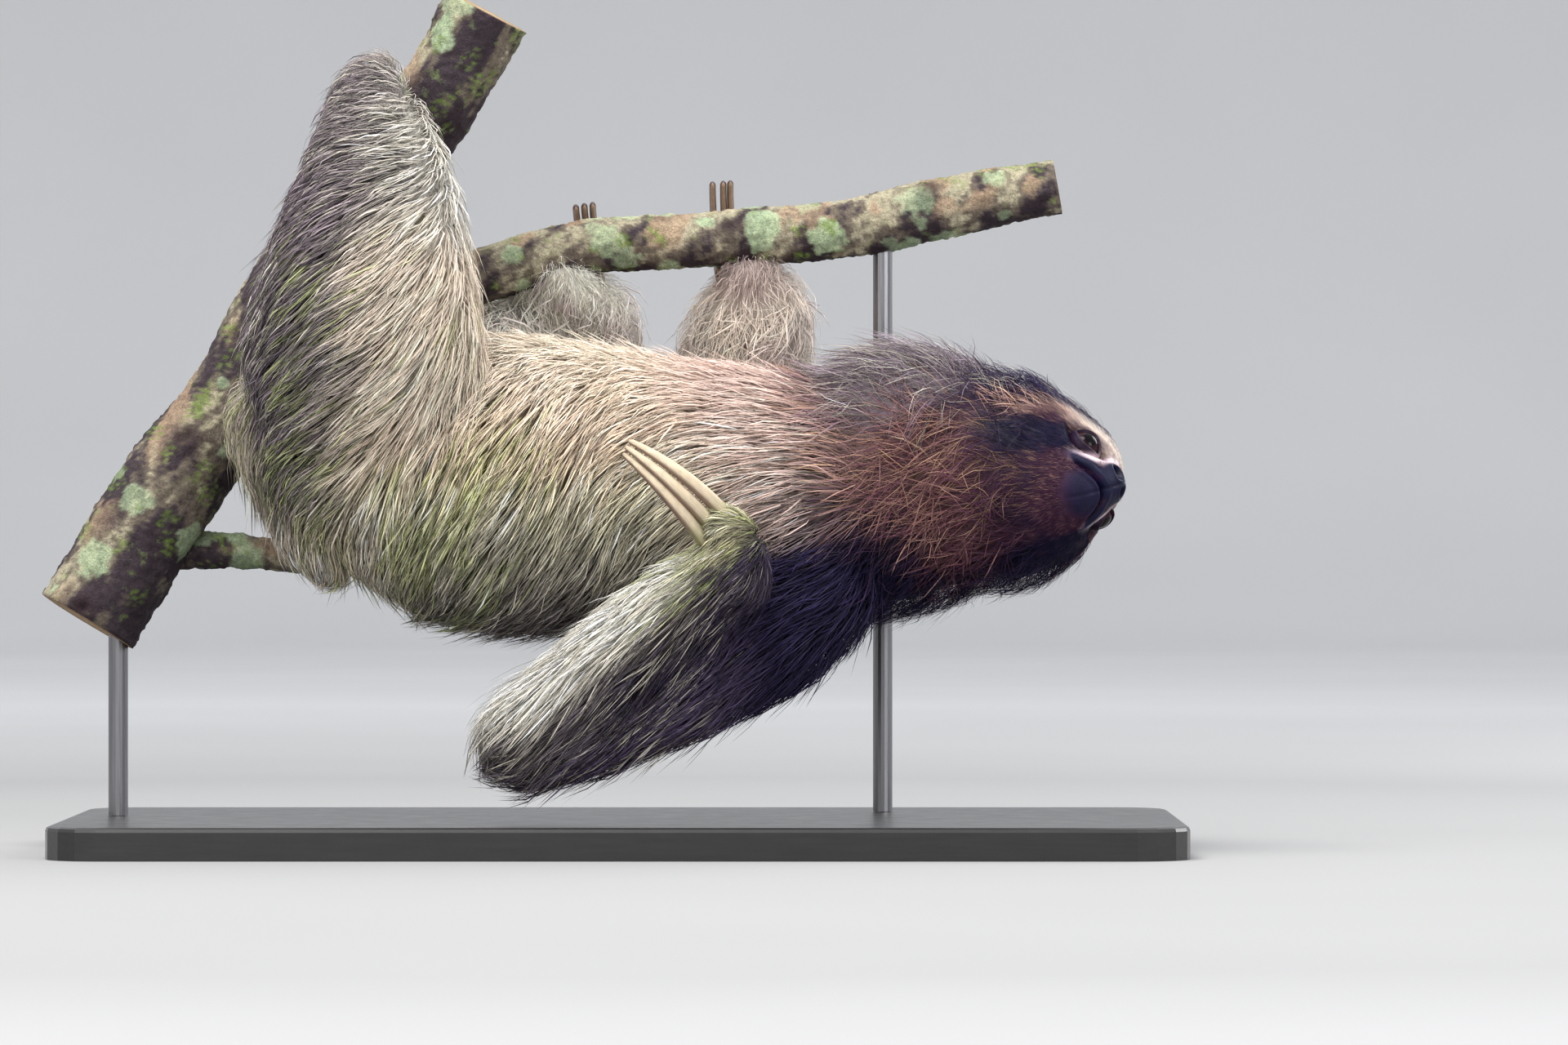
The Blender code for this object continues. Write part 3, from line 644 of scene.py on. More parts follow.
def head_colour(points):
    """The colour of the head, with painted shade on its left side and a painted sheen on the bare muzzle; how
    bare it is; and how much of a point is crown.
    """
    own = to_head(points)
    p = unit(own * (1, 0, 1) + np.abs(own) * (0, 1, 0))
    p = p * head_reach(p)[:, None]
    x, y, z = p.T
    wob = lumps(points, 0.02, 31) * 0.0022
    # The head's left side faces down: there the dark eye stripe is drawn wider and the pale brow narrower, as
    # painted shade.
    left = ease(-own[:, 1], 0.006, 0.03)
    brow = distance_to_line(p, BROW_BAND) + wob + 0.004 * left
    stripe = distance_to_line(p, EYE_STRIPE) + wob - 0.006 * left
    sheen_distance, upper, cheek = (distance_to_line(p, line) for line in (SHEEN_LINE, UPPER_LIP, CHEEK_STREAK))
    crown = ease(z + wob - np.interp(x, BROW_BAND[::-1, 0], BROW_BAND[::-1, 2]), 0.0015, 0.008)
    pad = (y / 0.012) ** 2 + ((z + 0.0285) / 0.009) ** 2
    lip = (y / 0.015) ** 2 + ((z + 0.043) / 0.0085) ** 2 + ((x - 0.062) / 0.015) ** 2
    smooth = fade(lip, 0.5, 1.6) * ease(x, 0.034, 0.05)
    nose = np.maximum(fade(pad, 0.8, 1.15), fade(upper, 0.0018, 0.004)) * ease(x, 0.034, 0.05)
    colour = lay(
        RUST, len(p),
        (UMBER, ease(x, -0.015, 0.022) * 0.85),
        (DARK_AND_SHADE, 0.65 * fade(cheek, 0.002, 0.0095) * ease(lumps(points, 0.01, 35), -1.0, 0.5)),
        (DUSK, crown * 0.95),
        (DARK_AND_SHADE, 0.75 * crown * ease(x, -0.02, 0.02)),
        (DARK_AND_SHADE, 0.8 * fade(np.abs(brow - 0.011), 0.002, 0.007) * ease(0.048 - x, 0, 0.02)),
        (AMBER, 0.95 * fade(brow / (0.72 + 0.28 * ease(x, 0.042, 0.058)), 0.0024, 0.0066)),
        (PALE, fade(brow, 0.004, 0.01) * ease(x, 0.046, 0.062)),
        (PALE, np.clip(hill(p, (0.07, 0.0, -0.006), (0.02, 0.017, 0.015), 1.25), 0, 1)),
        (DARK_AND_SHADE, fade(stripe, 0.0075, 0.0135)),
        # Near-black over the lower left of the head: partly dark cheek fur, partly painted shade.
        (DARK_AND_SHADE, 0.85 * ease(-own[:, 1], 0.02, 0.04) * fade(z, -0.02, 0.0)),
        (PLUM, fade(np.linalg.norm(p - EYE_OPENING, axis=1), 0.008, 0.0125) * 0.9),
        # Pale violet along the bare muzzle, brightest toward the nose: a painted highlight on smooth skin.
        (MIST, fade(sheen_distance, 0.001, 0.0064) * (0.4 + 0.55 * ease(x, 0.057, 0.067))),
        (PLUM, smooth), (INK, smooth * ease(x, 0.042, 0.057) * 0.9), (INK, nose),
    )
    return colour, np.maximum(np.maximum(nose, smooth), fade(sheen_distance, 0.002, 0.0055) * 0.75), crown


def markings(points, share):
    """The colour of skin and hair, painted shade on undersides included; how bare a point is; how golden,
    streaked, warm and mossy its hair is.
    """
    x, y, z = points.T
    n, end, far_end = len(x), share.along["forearm_left"], share.along["forearm_right"]
    big, small = lumps(points, 0.06, 41), lumps(points, 0.02, 42)
    up = z + 0.006 * big
    green = fade(np.abs(x + 0.105 + 0.25 * (0.22 - z)), 0.045, 0.095) * ease(big + 0.6 * small, -0.7, 0.6)
    green *= fade(up, 0.232, 0.262)
    rusty = ease(x + 0.2 * (z - 0.2) + 0.006 * small, 0.106, 0.14)
    whorl = 0.8 * np.exp(-(((x - WHORL[0]) ** 2 + (z - WHORL[1]) ** 2) / 0.0085**2)) * (y < 0)
    body = lay(
        CREAM, n,
        (SAND, fade(up, 0.235, 0.268)), (STRAW, fade(up, 0.195, 0.24)),
        (GREY, 0.8 * fade(up, 0.165, 0.215) * ease(x, -0.14, -0.08)),
        (CREAM, 0.85 * fade(x, -0.145, -0.105) * (1 - 0.7 * ease(z, 0.185, 0.215))),
        (SLATE, fade(up, 0.13, 0.185) * 0.9 * ease(x, -0.14, -0.08)),
        (GREY, 0.7 * fade(x, -0.19, -0.16) * ease(z, 0.19, 0.22)),
        (ALGAE, green * 0.16), (ROSE, ease(x + 0.4 * (z - 0.2), 0.035, 0.095)), (RUST, rusty * 0.9),
        # Near-black under the front of the chest: partly dark fur, partly painted shade.
        (UMBER, whorl), (DARK_AND_SHADE, fade(up, 0.172, 0.197) * ease(x, 0.068, 0.1)),
    )
    behind = up + 0.25 * (0.17 - x)
    nape = ease(behind + 0.003 * small, 0.24, 0.252)
    neck = lay(
        RUST, n,
        (ROSE, fade(x + 0.004 * small, 0.118, 0.146) * ease(up, 0.19, 0.22) * 0.95),
        # Near-black along the underside of the neck: partly dark fur, partly painted shade.
        (DARK_AND_SHADE, fade(up - 0.02 * fade(x, 0.14, 0.18), 0.16, 0.182)), (UMBER, whorl),
        # A dark line along the edge of the nape's crest: a painted shadow.
        (DARK_AND_SHADE, 0.65 * bell(behind - 0.239, 0.005) * ease(x, 0.135, 0.155)),
        (STEEL, nape), (SLATE, ease(y, 0.005, 0.035) * ease(x, 0.13, 0.16) * 0.9),
    )
    head, bare, crown = head_colour(points)
    edge = x + 0.01 * big - 0.1 * (z - 0.3)
    leg = lay(
        mix(STEEL[None], SLATE, [0.5])[0], n,
        (GREY, 0.5 * ease(edge, -0.165, -0.135)), (BONE, 0.92 * ease(edge, -0.137, -0.1)),
        (CREAM, ease(edge, -0.144, -0.114) * fade(z, 0.32, 0.37)),
        (SAND, ease(share.along["leg_left"], 0.88, 1.0) * 0.3),
    )
    near_belly = np.maximum(fade(z, 0.18, 0.21), fade(z, 0.245, 0.285) * ease(x, -0.16, -0.125))
    leg = leg + (mix(body, CREAM, 0.25 + 0.5 * ease(z, 0.22, 0.26)) - leg) * near_belly[:, None]
    # How far a point is above the line from elbow to wrist of the near forearm.
    elbow, wrist = CHAINS["forearm_left"][[0, -1], :3]
    over = (points - elbow) @ unit(np.cross(unit(wrist - elbow), (0, 1.0, 0))) + 0.002 * small
    # The near forearm and hand are pale on top and darker underneath, partly grey-brown fur and partly
    # painted shade.
    fore = lay(
        SHADE, n, (OLIVE, 0.22 * ease(over + 0.004 * small, -0.012, 0.0)), (GREY, fade(end, 0.1, 0.4) * 0.35),
        (BONE, ease(over - 0.005 * ease(end, 0.6, 0.9) - 0.007 * fade(end, 0.02, 0.25), -0.001, 0.01)),
    )
    # The upper arm darkens toward the elbow's bend and toward the shoulder: partly dark fur, partly painted
    # shade.
    arm = lay(DUSK, n, (SHADE, fade(x, -0.045, 0.02)), (DARK_AND_SHADE, ease(x, 0.062, 0.105) * 0.85))
    hand = lay(OLIVE, n, (SHADE, fade(over, 0.003, 0.013)), (STRAW, ease(over, 0.01, 0.018) * 0.6))
    far = lay(BONE, n, (MIST, ease(small, -0.4, 0.9) * 0.6))
    far_fore = lay(
        BONE, n, (MIST, ease(big, -0.6, 0.6) * 0.4), (SLATE, ease(x + 0.01 * small, 0.092, 0.108) * 0.4),
        (ROSE, 0.5 * ease(far_end, 0.4, 0.8)), (RUST, ease(far_end, 0.8, 0.98) * 0.35),
    )
    tail = lay(CREAM, n, (ALGAE, ease(small, 0, 1) * 0.2))
    tones = body, neck, head, tail, leg, far, arm, fore, hand, far, far_fore
    total = sum(share[name][:, None] * tone for name, tone in zip(REGIONS, tones))
    brightness = total.mean(1)
    trunk, mane, face, thigh, forearm, palm, upper_arm = (
        share[name] for name in ("body", "neck", "head", "leg_left", "forearm_left", "hand_left", "arm_left"))
    warm = np.clip(face + mane * (1 - nape) + rusty * trunk, 0, 1)
    groin = thigh * ease(edge, -0.15, -0.115) * fade(z, 0.33, 0.38)
    gold = (mane + face) * (1 - nape) * (1 - 0.75 * ease(to_head(points)[:, 0], 0.0, 0.055) * face)
    gold = np.maximum(gold, rusty * trunk) * ease(up, 0.178, 0.2) * 0.34 * ease(brightness, 0.016, 0.04)
    frosted = 0.26 * (thigh + forearm + upper_arm + palm) * fade(x, 0.045, 0.085) * (1 - 0.5 * forearm)
    frosted = frosted + 0.34 * nape * mane + 0.28 * trunk * fade(up, 0.18, 0.22) * fade(x, 0.04, 0.08)
    crown = face * crown
    gold = np.maximum(gold * (1 - crown), frosted * (1 - warm)) + 0.14 * crown
    flank = (trunk + thigh) * fade(x, -0.135, -0.105) * ease(z, 0.175, 0.205) * fade(z, 0.255, 0.3)
    moss = 0.5 * green * trunk + 0.3 * thigh * fade(z, 0.31, 0.36) * ease(big - small, -0.4, 0.8)
    moss += (0.4 * forearm * ease(end, 0.55, 0.9) + 0.2 * palm) * ease(over, -0.006, 0.008)
    moss += 0.34 * flank * ease(big - small, -0.6, 0.6)
    dark = ease(0.19 - brightness, 0.0, 0.1)
    streaks = 1.25 - 0.95 * ease(up, 0.215, 0.262) * trunk - 0.4 * dark * (1 - mane)
    streaks += 0.3 * nape * mane
    streaks -= 1.0 * sum(share[name] for name in ("leg_right", "forearm_right", "arm_right"))
    streaks -= 0.9 * groin + 0.5 * (trunk + thigh) * fade(x, -0.155, -0.12) * fade(z, 0.17, 0.21)
    streaks = np.maximum(streaks - 0.35 * forearm * ease(over, 0.0, 0.012), 0.15)
    return total, bare * face, gold * (1 - 0.8 * groin), streaks, warm * (1 - crown), moss * (1 - 0.7 * groin)


# ---------- the coat
HAIR_PATCH = 0.003
MOST_IN_PIECE, QUICK_SHARE = 195_000, 0.12
FOOT_DEPTH, MOST_LIFT = 0.0012, 0.012  # a lock's foot under the skin, and its shift from the skin in one step
LOCKS_TO_A_CLUMP, CLUMP_REACH = 14, 0.03
LIE_ROUNDS = 14  # how often the lie is averaged with its neighbours
FULL_WIDTH_LENGTH = 0.03  # shorter locks are thinner
# Length, wild, stray and height multiply what the skin says. Cling holds a lock to its height over the skin,
# rise lifts its root, sag bends its tip down, swing widens its waves, and rings are the steps along it.
Kind = namedtuple("Kind", "name seed count length width wild stray cling sag rise waves swing rings height")
LONG = Kind("long", 101, 43000, 1.05, 0.00108, 0.9, 1.0, 0.8, 0.1, 1.3, (0.3, 1.0), 1.6, 3, 1.0)
FINE = Kind("fine", 202, 15500, 0.95, 0.00062, 2.0, 1.4, 0.75, 0.15, 1.3, (0.4, 1.3), 3.4, 3, 1.0)
CURL = Kind("curl", 404, 12600, 0.95, 0.0006, 1.2, 1.0, 0.7, 0.1, 1.3, (0.6, 1.3), 5.2, 5, 1.0)
SHORT = Kind("short", 303, 21000, 1.0, 0.0006, 0.6, 1.0, 0.8, 0.0, 0.3, (0.2, 0.6), 0.8, 2, 0.5)
# Regions that share coat pieces, so that each piece stays small.
GROUPS = [(name,) for name in ("body", "neck", "head", "tail", "leg_left", "leg_right")]
GROUPS += [("arm_left", "forearm_left", "hand_left"), ("arm_right", "forearm_right")]


class Skin:
    """The skin's surface, with all that the coat reads from it at any place."""

    def __init__(self, data):
        data.calc_loop_triangles()
        self.points = coordinates(data)
        self.corners = fetch(data.loop_triangles, "vertices", 3, np.int32).reshape(-1, 3)
        a, b, c = (self.points[self.corners[:, k]] for k in range(3))
        upright = np.cross(b - a, c - a)
        self.areas = np.linalg.norm(upright, axis=1) / 2
        normals = np.zeros_like(self.points)
        for k in range(3):
            np.add.at(normals, self.corners[:, k], unit(upright) * self.areas[:, None])
        self.normals = unit(normals)
        self.share = Shares(self.points)
        lie = self.laid(lie_of_coat(self.points, self.share))
        for _ in range(LIE_ROUNDS):
            lie = self.laid(self.spread(lie))
        self.lie = unit(lie)
        self.length, self.depth, self.stray, self.wild = (
            found(self.points, self.share) for found in (hair_length, coat_depth, waywardness, unruliness))
        found = markings(self.points, self.share)
        self.colour, self.bare, self.gold, self.streaks, self.rusty, self.moss = found
        self.tree = BVHTree.FromPolygons(self.points.tolist(), self.corners.tolist())

    def laid(self, lie):
        return lie - self.normals * (lie * self.normals).sum(1, keepdims=True)

    def spread(self, values):
        """Each vertex's values averaged with its neighbours'."""
        total, count = values.copy(), np.ones(len(values))
        for a, b in ((0, 1), (1, 2), (2, 0)):
            for i, j in ((a, b), (b, a)):
                np.add.at(total, self.corners[:, i], values[self.corners[:, j]])
                np.add.at(count, self.corners[:, i], 1)
        return total / count[:, None]

    def nearest(self, places):
        """The skin's closest points, and the corners of the triangles that they lie on."""
        found = [self.tree.find_nearest(place) for place in places.tolist()]
        return np.array([row[0] for row in found]), self.corners[[row[2] for row in found]]


def scatter(rng, weight, count):
    """Random places on the skin: triangle numbers and the shares of their corners."""
    sums = np.cumsum(weight)
    picks = np.searchsorted(sums, (np.arange(count) + rng.random(count)) / count * sums[-1])
    u, v = rng.random(count), rng.random(count)
    flip = u + v > 1
    u, v = np.where(flip, 1 - u, u), np.where(flip, 1 - v, v)
    return np.minimum(picks, len(weight) - 1), columns(1 - u - v, u, v)


def grow(skin, rng, read, kind):
    """Paths of hair from the skin, normals and lengths at their roots, and their feet under the skin."""
    roots, normals, depth = read("points"), unit(read("normals")), read("depth")
    count = len(roots)
    length = read("length") * rng.uniform(0.7, 1.2, count) * kind.length
    layer = np.sqrt(rng.uniform(0.1, 1.0, count))
    wild = (rng.random(count) < read("wild") * kind.wild) * rng.uniform(0.15, 0.6, count)
    turn = read("stray") * (0.8 * rng.normal(0, kind.stray, count) + 1.2 * lumps(roots, 0.022, 51))
    turn = (turn + 0.12 * lumps(roots, 0.05, 52))[:, None]

    def turned(lie, normal):
        lie = unit(lie)
        return unit(lie * np.cos(turn) + np.cross(normal, lie) * np.sin(turn))

    path, place = [roots], roots
    rise = np.clip(depth * layer / np.maximum(length * 0.45, 1e-4), 0.15, 1.2)
    way = unit(turned(read("lie"), normals) + normals * rise[:, None] * kind.rise)
    for k in range(1, kind.rings + 1):
        share = k / kind.rings
        place = place + way * (length / kind.rings)[:, None]
        spots, near = skin.nearest(place)
        local = unit(skin.normals[near].mean(axis=1))
        height = ((place - spots) * local).sum(1)
        wanted = depth * layer * kind.height * min(1.0, share / 0.5) ** 0.8 + wild * length * share**2 * 0.5
        place = place + local * (np.clip(wanted - height, -MOST_LIFT, MOST_LIFT) * kind.cling)[:, None]
        path.append(place)
        ahead = turned(skin.lie[near].mean(axis=1), local)
        ahead = ahead + local * (wild * 0.5)[:, None] + np.array((0, 0, -kind.sag)) * share
        way = unit(0.45 * way + 0.75 * ahead)
    return np.stack(path, axis=1), normals, length, roots - normals * FOOT_DEPTH


def lock_meshes(paths, feet, normals, widths, rng, kind):
    """Closed three-sided locks along the paths: vertices of each, and the faces and strand map of one."""
    count, steps, _ = paths.shape
    flow = unit(np.gradient(paths, axis=1))
    side = unit(np.cross(flow, normals[:, None, :]))
    over = unit(np.cross(side, flow))
    share = np.linspace(0, 1, steps)
    phase = rng.uniform(0, FULL_TURN, count)[:, None]
    beat = rng.uniform(*kind.waves, count)[:, None]
    swing = (widths * rng.uniform(0.3, 1.0, count) * kind.swing)[:, None]
    sway = (np.sin(phase + beat * FULL_TURN * share) - np.sin(phase)) * swing
    lift = (np.cos(phase * 1.7 + beat * 5.1 * share) - np.cos(phase * 1.7)) * swing * 0.35
    paths = paths + side * sway[:, :, None] + over * lift[:, :, None]
    paths[:, 0] = feet
    profile = np.interp(share, (0, 0.25, 0.6, 0.85, 1.0), (0.75, 1.0, 0.85, 0.5, 0.0))
    twist = rng.normal(0, 0.5, count)[:, None]
    rows = []
    for k in range(steps - 1):
        here, half, turn = paths[:, k], (widths * profile[k])[:, None], twist * (0.4 + share[k])
        wide = (side[:, k] * np.cos(turn) + over[:, k] * np.sin(turn)) * half * 0.5
        up = (over[:, k] * np.cos(turn) - side[:, k] * np.sin(turn)) * half
        rows += [here - wide - up * 0.12, here + up * 0.26, here + wide - up * 0.12]
    rows.append(paths[:, -1])
    faces, tip = [(0, 1, 2)], 3 * (steps - 1)
    pairs = ((0, 1), (1, 2), (2, 0))
    for low in range(0, tip - 3, 3):
        for a, b in pairs:
            faces += [(low + a, low + a + 3, low + b + 3), (low + a, low + b + 3, low + b)]
    faces += [(tip - 3 + a, tip, tip - 3 + b) for a, b in pairs]
    strand = columns([0.0, 0.5, 1.0] * (steps - 1) + [0.5], np.append(np.repeat(share[:-1], 3), 1.0))
    return np.stack(rows, axis=1), np.array(faces, np.int32), strand


def mesh_of_locks(name, vertices, faces, strand, homes, tints):
    """One object from many locks of the same kind, with their colours, bake map and strand map."""
    count, per, _ = vertices.shape
    index = (faces[None] + (np.arange(count) * per)[:, None, None]).reshape(-1)
    data = bpy.data.meshes.new(name)
    data.vertices.add(count * per)
    store(data.vertices, "co", vertices)
    data.loops.add(len(index))
    store(data.loops, "vertex_index", index, np.int32)
    data.polygons.add(len(index) // 3)
    store(data.polygons, "loop_start", np.arange(0, len(index), 3), np.int32)
    data.update(calc_edges=True)
    bake = homes[:, None, :] + (strand - 0.5)[None] * HAIR_PATCH
    for label, places in (("OFBake", bake), ("Strand", np.broadcast_to(strand, bake.shape))):
        store(data.uv_layers.new(name=label).uv, "vector", places.reshape(-1, 2)[index])
    data.uv_layers.active_index = 0
    paint(data, "tint", tints.reshape(-1, 3))
    return place(bpy.data.objects.new(name, data))


def unwrap(points, region, along):
    """Places on an unwrap of the skin round the axis of a region, from 0 to 1 each way."""
    if region in ("body", "neck"):
        rows = BODY if region == "body" else NECK
        turn = np.arctan2(points[:, 1], points[:, 2] - np.interp(points[:, 0], rows[:, 0], rows[:, -3]))
        v = points[:, 0]
    elif region == "head":
        own = to_head(points)
        turn = np.arctan2(own[:, 1], own[:, 2])
        v = np.arccos(np.clip(unit(own)[:, 0], -1, 1))
    else:
        rows = CHAINS[region][:, :3]
        last = len(rows) - 1
        k = np.clip((along * last).round().astype(int), 0, last)
        axis = unit(rows[np.minimum(k + 1, last)] - rows[np.maximum(k - 1, 0)])
        first = unit(np.cross(axis, (0.1, 1.0, 0.05)))
        away = points - rows[k]
        turn = np.arctan2((away * np.cross(axis, first)).sum(1), (away * first).sum(1))
        v = along + (away * axis).sum(1) * 3.0
    v = (v - v.min()) / max(v.max() - v.min(), 1e-9)
    return 0.01 + 0.98 * columns((turn + math.pi) / (2 * math.pi), v)


def lean_together(rng, roots, paths):
    """Neighbouring locks lean toward shared tips."""
    count = len(roots)
    clumps = rng.choice(count, max(1, count // LOCKS_TO_A_CLUMP), replace=False)
    tree = kdtree.KDTree(len(clumps))
    for k, c in enumerate(clumps):
        tree.insert(roots[c], k)
    tree.balance()
    mates = np.array([clumps[tree.find(root)[1]] for root in roots.tolist()])
    gap = roots - roots[mates]
    pull = np.clip(0.55 - np.linalg.norm(gap, axis=1) / CLUMP_REACH, 0, 0.5) * rng.uniform(0.3, 1, count)
    blend = pull[:, None] * np.linspace(0, 1, paths.shape[1]) ** 1.5
    return paths + (paths[mates] + gap[:, None, :] * 0.35 - paths) * blend[:, :, None]


def tint_locks(rng, read, down):
    """The colour at each vertex of every lock: streaks, gold or frost, moss, and darker roots."""
    colour, streaks, roots, lies = read("colour"), read("streaks")[:, None], read("points"), read("lie")
    count = len(colour)
    shade = rng.normal(0, 0.18, count)
    for step in (-0.014, -0.007, 0.0, 0.007, 0.014):
        shade += 0.11 * lumps(roots + lies * step, 0.009, 88, 11)
    luck = rng.random(count)
    shade += np.where(luck < 0.13, 0.3, np.where(luck > 0.86, -0.75, 0.0))
    shade, breast = shade[:, None], read("rusty")[:, None] > 0.5
    golden = (rng.random(count) < read("gold"))[:, None]
    colour = np.where(golden, colour * 0.3 + 0.7 * np.where(breast, GOLD, FROST), colour)
    light = np.clip(colour.mean(1, keepdims=True) / 0.1, 0, 1)
    warmer = np.where(breast, np.clip(shade, 0, 0.6) * 1.1 * light, 0)
    colour = colour * (1 - warmer) + GOLD * warmer
    mossy = (rng.random(count) < read("moss"))[:, None]
    lock = np.where(mossy, colour * 0.35 + 0.65 * ALGAE, colour) * np.exp(shade * streaks)
    grey = lock.mean(axis=1, keepdims=True)
    lock = np.clip(lock + (lock - grey) * rng.normal(0, 0.08, (count, 1)), 0.004, 0.95)
    dark = np.interp(down, (0, 0.35, 1.0), (0.5, 0.85, 1.12))[None, :] ** (0.35 + 0.9 * streaks)
    return np.clip(lock[:, None, :] * dark[:, :, None], 0.003, 0.96)


def grow_coat(skin, kind, weight, finishes):
    """Grows one kind of lock all over, in pieces by region."""
    count = int(kind.count * (1.0))
    rng = np.random.default_rng(kind.seed)
    picks, shares = scatter(rng, weight, count)
    at = skin.corners[picks]
    near = at[:, 0]

    def read(name):
        values = getattr(skin, name)[at]
        return (values * (shares[:, :, None] if values.ndim == 3 else shares)).sum(1)

    paths, normals, length, feet = grow(skin, rng, read, kind)
    roots, share = read("points"), skin.share
    widths = kind.width * (0.42 + rng.random(count) ** 2) * np.clip(length / FULL_WIDTH_LENGTH, 0.45, 1.0)
    widths *= 1 - 0.3 * share["head"][near] - 0.42 * share["neck"][near]
    widths *= 1 - 0.22 * share["forearm_left"][near]
    paths = lean_together(rng, roots, paths)
    vertices, faces, strand = lock_meshes(paths, feet, normals, widths, rng, kind)
    tints = tint_locks(rng, read, strand[:, 1])
    region = np.argmax(share.weights[near], axis=1)
    for members in GROUPS:
        chosen = np.where(np.isin(region, [REGIONS.index(name) for name in members]))[0]
        if not len(chosen):
            continue
        group = members[0]
        homes = unwrap(roots[chosen], group, share.along[group][near[chosen]])
        look = "coat_dark" if group in ("head", "neck") else "coat"
        parts = math.ceil(len(chosen) / (MOST_IN_PIECE // len(faces)))
        for k, some in enumerate(np.array_split(np.argsort(homes[:, 1], kind="stable"), parts), 1):
            pick = chosen[some]
            label = f"coat_{group}_{kind.name}_{k}"
            piece = mesh_of_locks(label, vertices[pick], faces, strand, homes[some], tints[pick])
            hand_in(piece, finishes[look], look)


def build_coat(skin, finishes):
    length, stray, bare = (values[skin.corners].mean(1) for values in (skin.length, skin.stray, skin.bare))
    short, curly = fade(length, 0.012, 0.02), ease(stray, 0.2, 0.6)
    weight = skin.areas * np.clip(1.05 - 1.2 * bare, 0, 1) ** 1.5
    centres = to_head(skin.points[skin.corners].mean(1))
    for side in (1, -1):
        centre, along, across, out = eye_frame(side)
        q = centres - centre
        wide, high = (q @ along) / (EYE_HALF_LENGTH * 1.2), (q @ across) / (EYE_HALF_HEIGHT * 1.45)
        weight[(wide**2 + high**2 < 1) & (q @ out > 0)] = 0
    loose = weight * (1 - short) * (1 + 0.5 * fade(length, 0.02, 0.035))
    loose *= 1 + 2.0 * skin.share["hand_left"][skin.corners[:, 0]]
    for kind, chances in (
        (LONG, loose * (1 - 0.88 * curly)), (FINE, loose), (CURL, loose * curly),
        (SHORT, weight * short * (1 + 1.5 * fade(length, 0.004, 0.01))),
    ):
        grow_coat(skin, kind, chances, finishes)


# ---------- materials
class Nodes:
    """Short ways to write a material's nodes."""

    def __init__(self, name, roughness=0.7):
        self.material = bpy.data.materials.new(name)
        self.material.use_nodes = True
        self.tree = self.material.node_tree
        self.inputs = self.tree.nodes["Principled BSDF"].inputs
        self.inputs["Roughness"].default_value = roughness

    def add(self, kind, source=None, out=0, **settings):
        """A new node, fed at its first socket or its height; gives the socket that it feeds others from."""
        node = self.tree.nodes.new("ShaderNode" + kind)
        for key, value in settings.items():
            if key.replace("_", " ") in node.inputs:
                node.inputs[key.replace("_", " ")].default_value = value
            else:
                setattr(node, key, value)
        if source is not None:
            self.tree.links.new(source, node.inputs["Height" if kind == "Bump" else 0])
        return node.outputs[out]

    def stored(self, name="tint"):
        return self.add("Attribute", attribute_name=name)

    def place(self, stretch=(1, 1, 1), uv=None):
        source = self.add("UVMap", uv_map=uv) if uv else self.add("TexCoord", out="Object")
        return self.add("Mapping", source, Scale=stretch)

    def noise(self, scale, detail=4.0, rough=0.6, **where):
        return self.add("TexNoise", self.place(**where), Scale=scale, Detail=detail, Roughness=rough)

    def ramp(self, value, *stops):
        result = self.add("ValToRGB", value)
        elements = result.node.color_ramp.elements
        while len(elements) < len(stops):
            elements.new(0.5)
        for element, (at, colour) in zip(elements, stops):
            element.position = at
            element.color = (*np.broadcast_to(colour, 3), 1.0)
        return result

    def blend(self, a, b, factor=1.0, how="MIX"):
        result = self.add("Mix", out=2, data_type="RGBA", blend_type=how)
        for value, k in ((factor, 0), (a, 6), (b, 7)):
            socket = result.node.inputs[k]
            if isinstance(value, bpy.types.NodeSocket):
                self.tree.links.new(value, socket)
            else:
                socket.default_value = (*np.broadcast_to(value, 3), 1.0) if k else value
        return result

    def shade(self, colour, value, factor, *stops):
        return self.blend(colour, self.ramp(value, *stops), factor, "MULTIPLY")

    def finish(self, colour, rough=None, bump=None, **sockets):
        """Gives the shader its colour, a value spread between two roughnesses, and a height."""
        link, inputs = self.tree.links.new, self.inputs
        link(colour, inputs["Base Color"])
        if rough:
            value, low, high = rough
            link(self.add("MapRange", value, To_Min=low, To_Max=high), inputs["Roughness"])
        if bump:
            height, strength, distance = bump
            link(self.add("Bump", height, Strength=strength, Distance=distance), inputs["Normal"])
        for name, value in sockets.items():
            inputs[name.replace("_", " ")].default_value = value
        return self.material


def hair_finish(name, gloss):
    """Locks: their stored colour, with fine strands drawn along each."""
    m = Nodes(name)
    tint = m.stored()
    strands = m.noise(3.0, 3.0, 0.7, stretch=(7.0, 0.8, 1.0), uv="Strand")
    patch = m.noise(420.0, 2.0)
    colour = m.shade(tint, strands, 0.75, (0.25, 0.72), (0.62, 1.3))
    colour = m.shade(colour, patch, 0.5, (0.3, 0.85), (0.7, 1.2))
    return m.finish(colour, (strands, 0.48, 0.8), (strands, 0.5, 0.0006), Specular_IOR_Level=gloss)


def skin_finish():
    """Skin: the coat's colour with short flat hair as bump, and smooth dark skin on nose and lips."""
    m = Nodes("skin_finish")
    tint, fine, coarse = m.stored(), m.noise(900.0, 3.0), m.noise(180.0)
    colour = m.shade(tint, coarse, 0.7, (0.3, 0.6), (0.7, 1.25))
    relief = m.blend(fine, coarse, 0.4), 0.45, 0.0008
    return m.finish(colour, (fine, 0.3, 0.6), relief, Specular_IOR_Level=0.22)


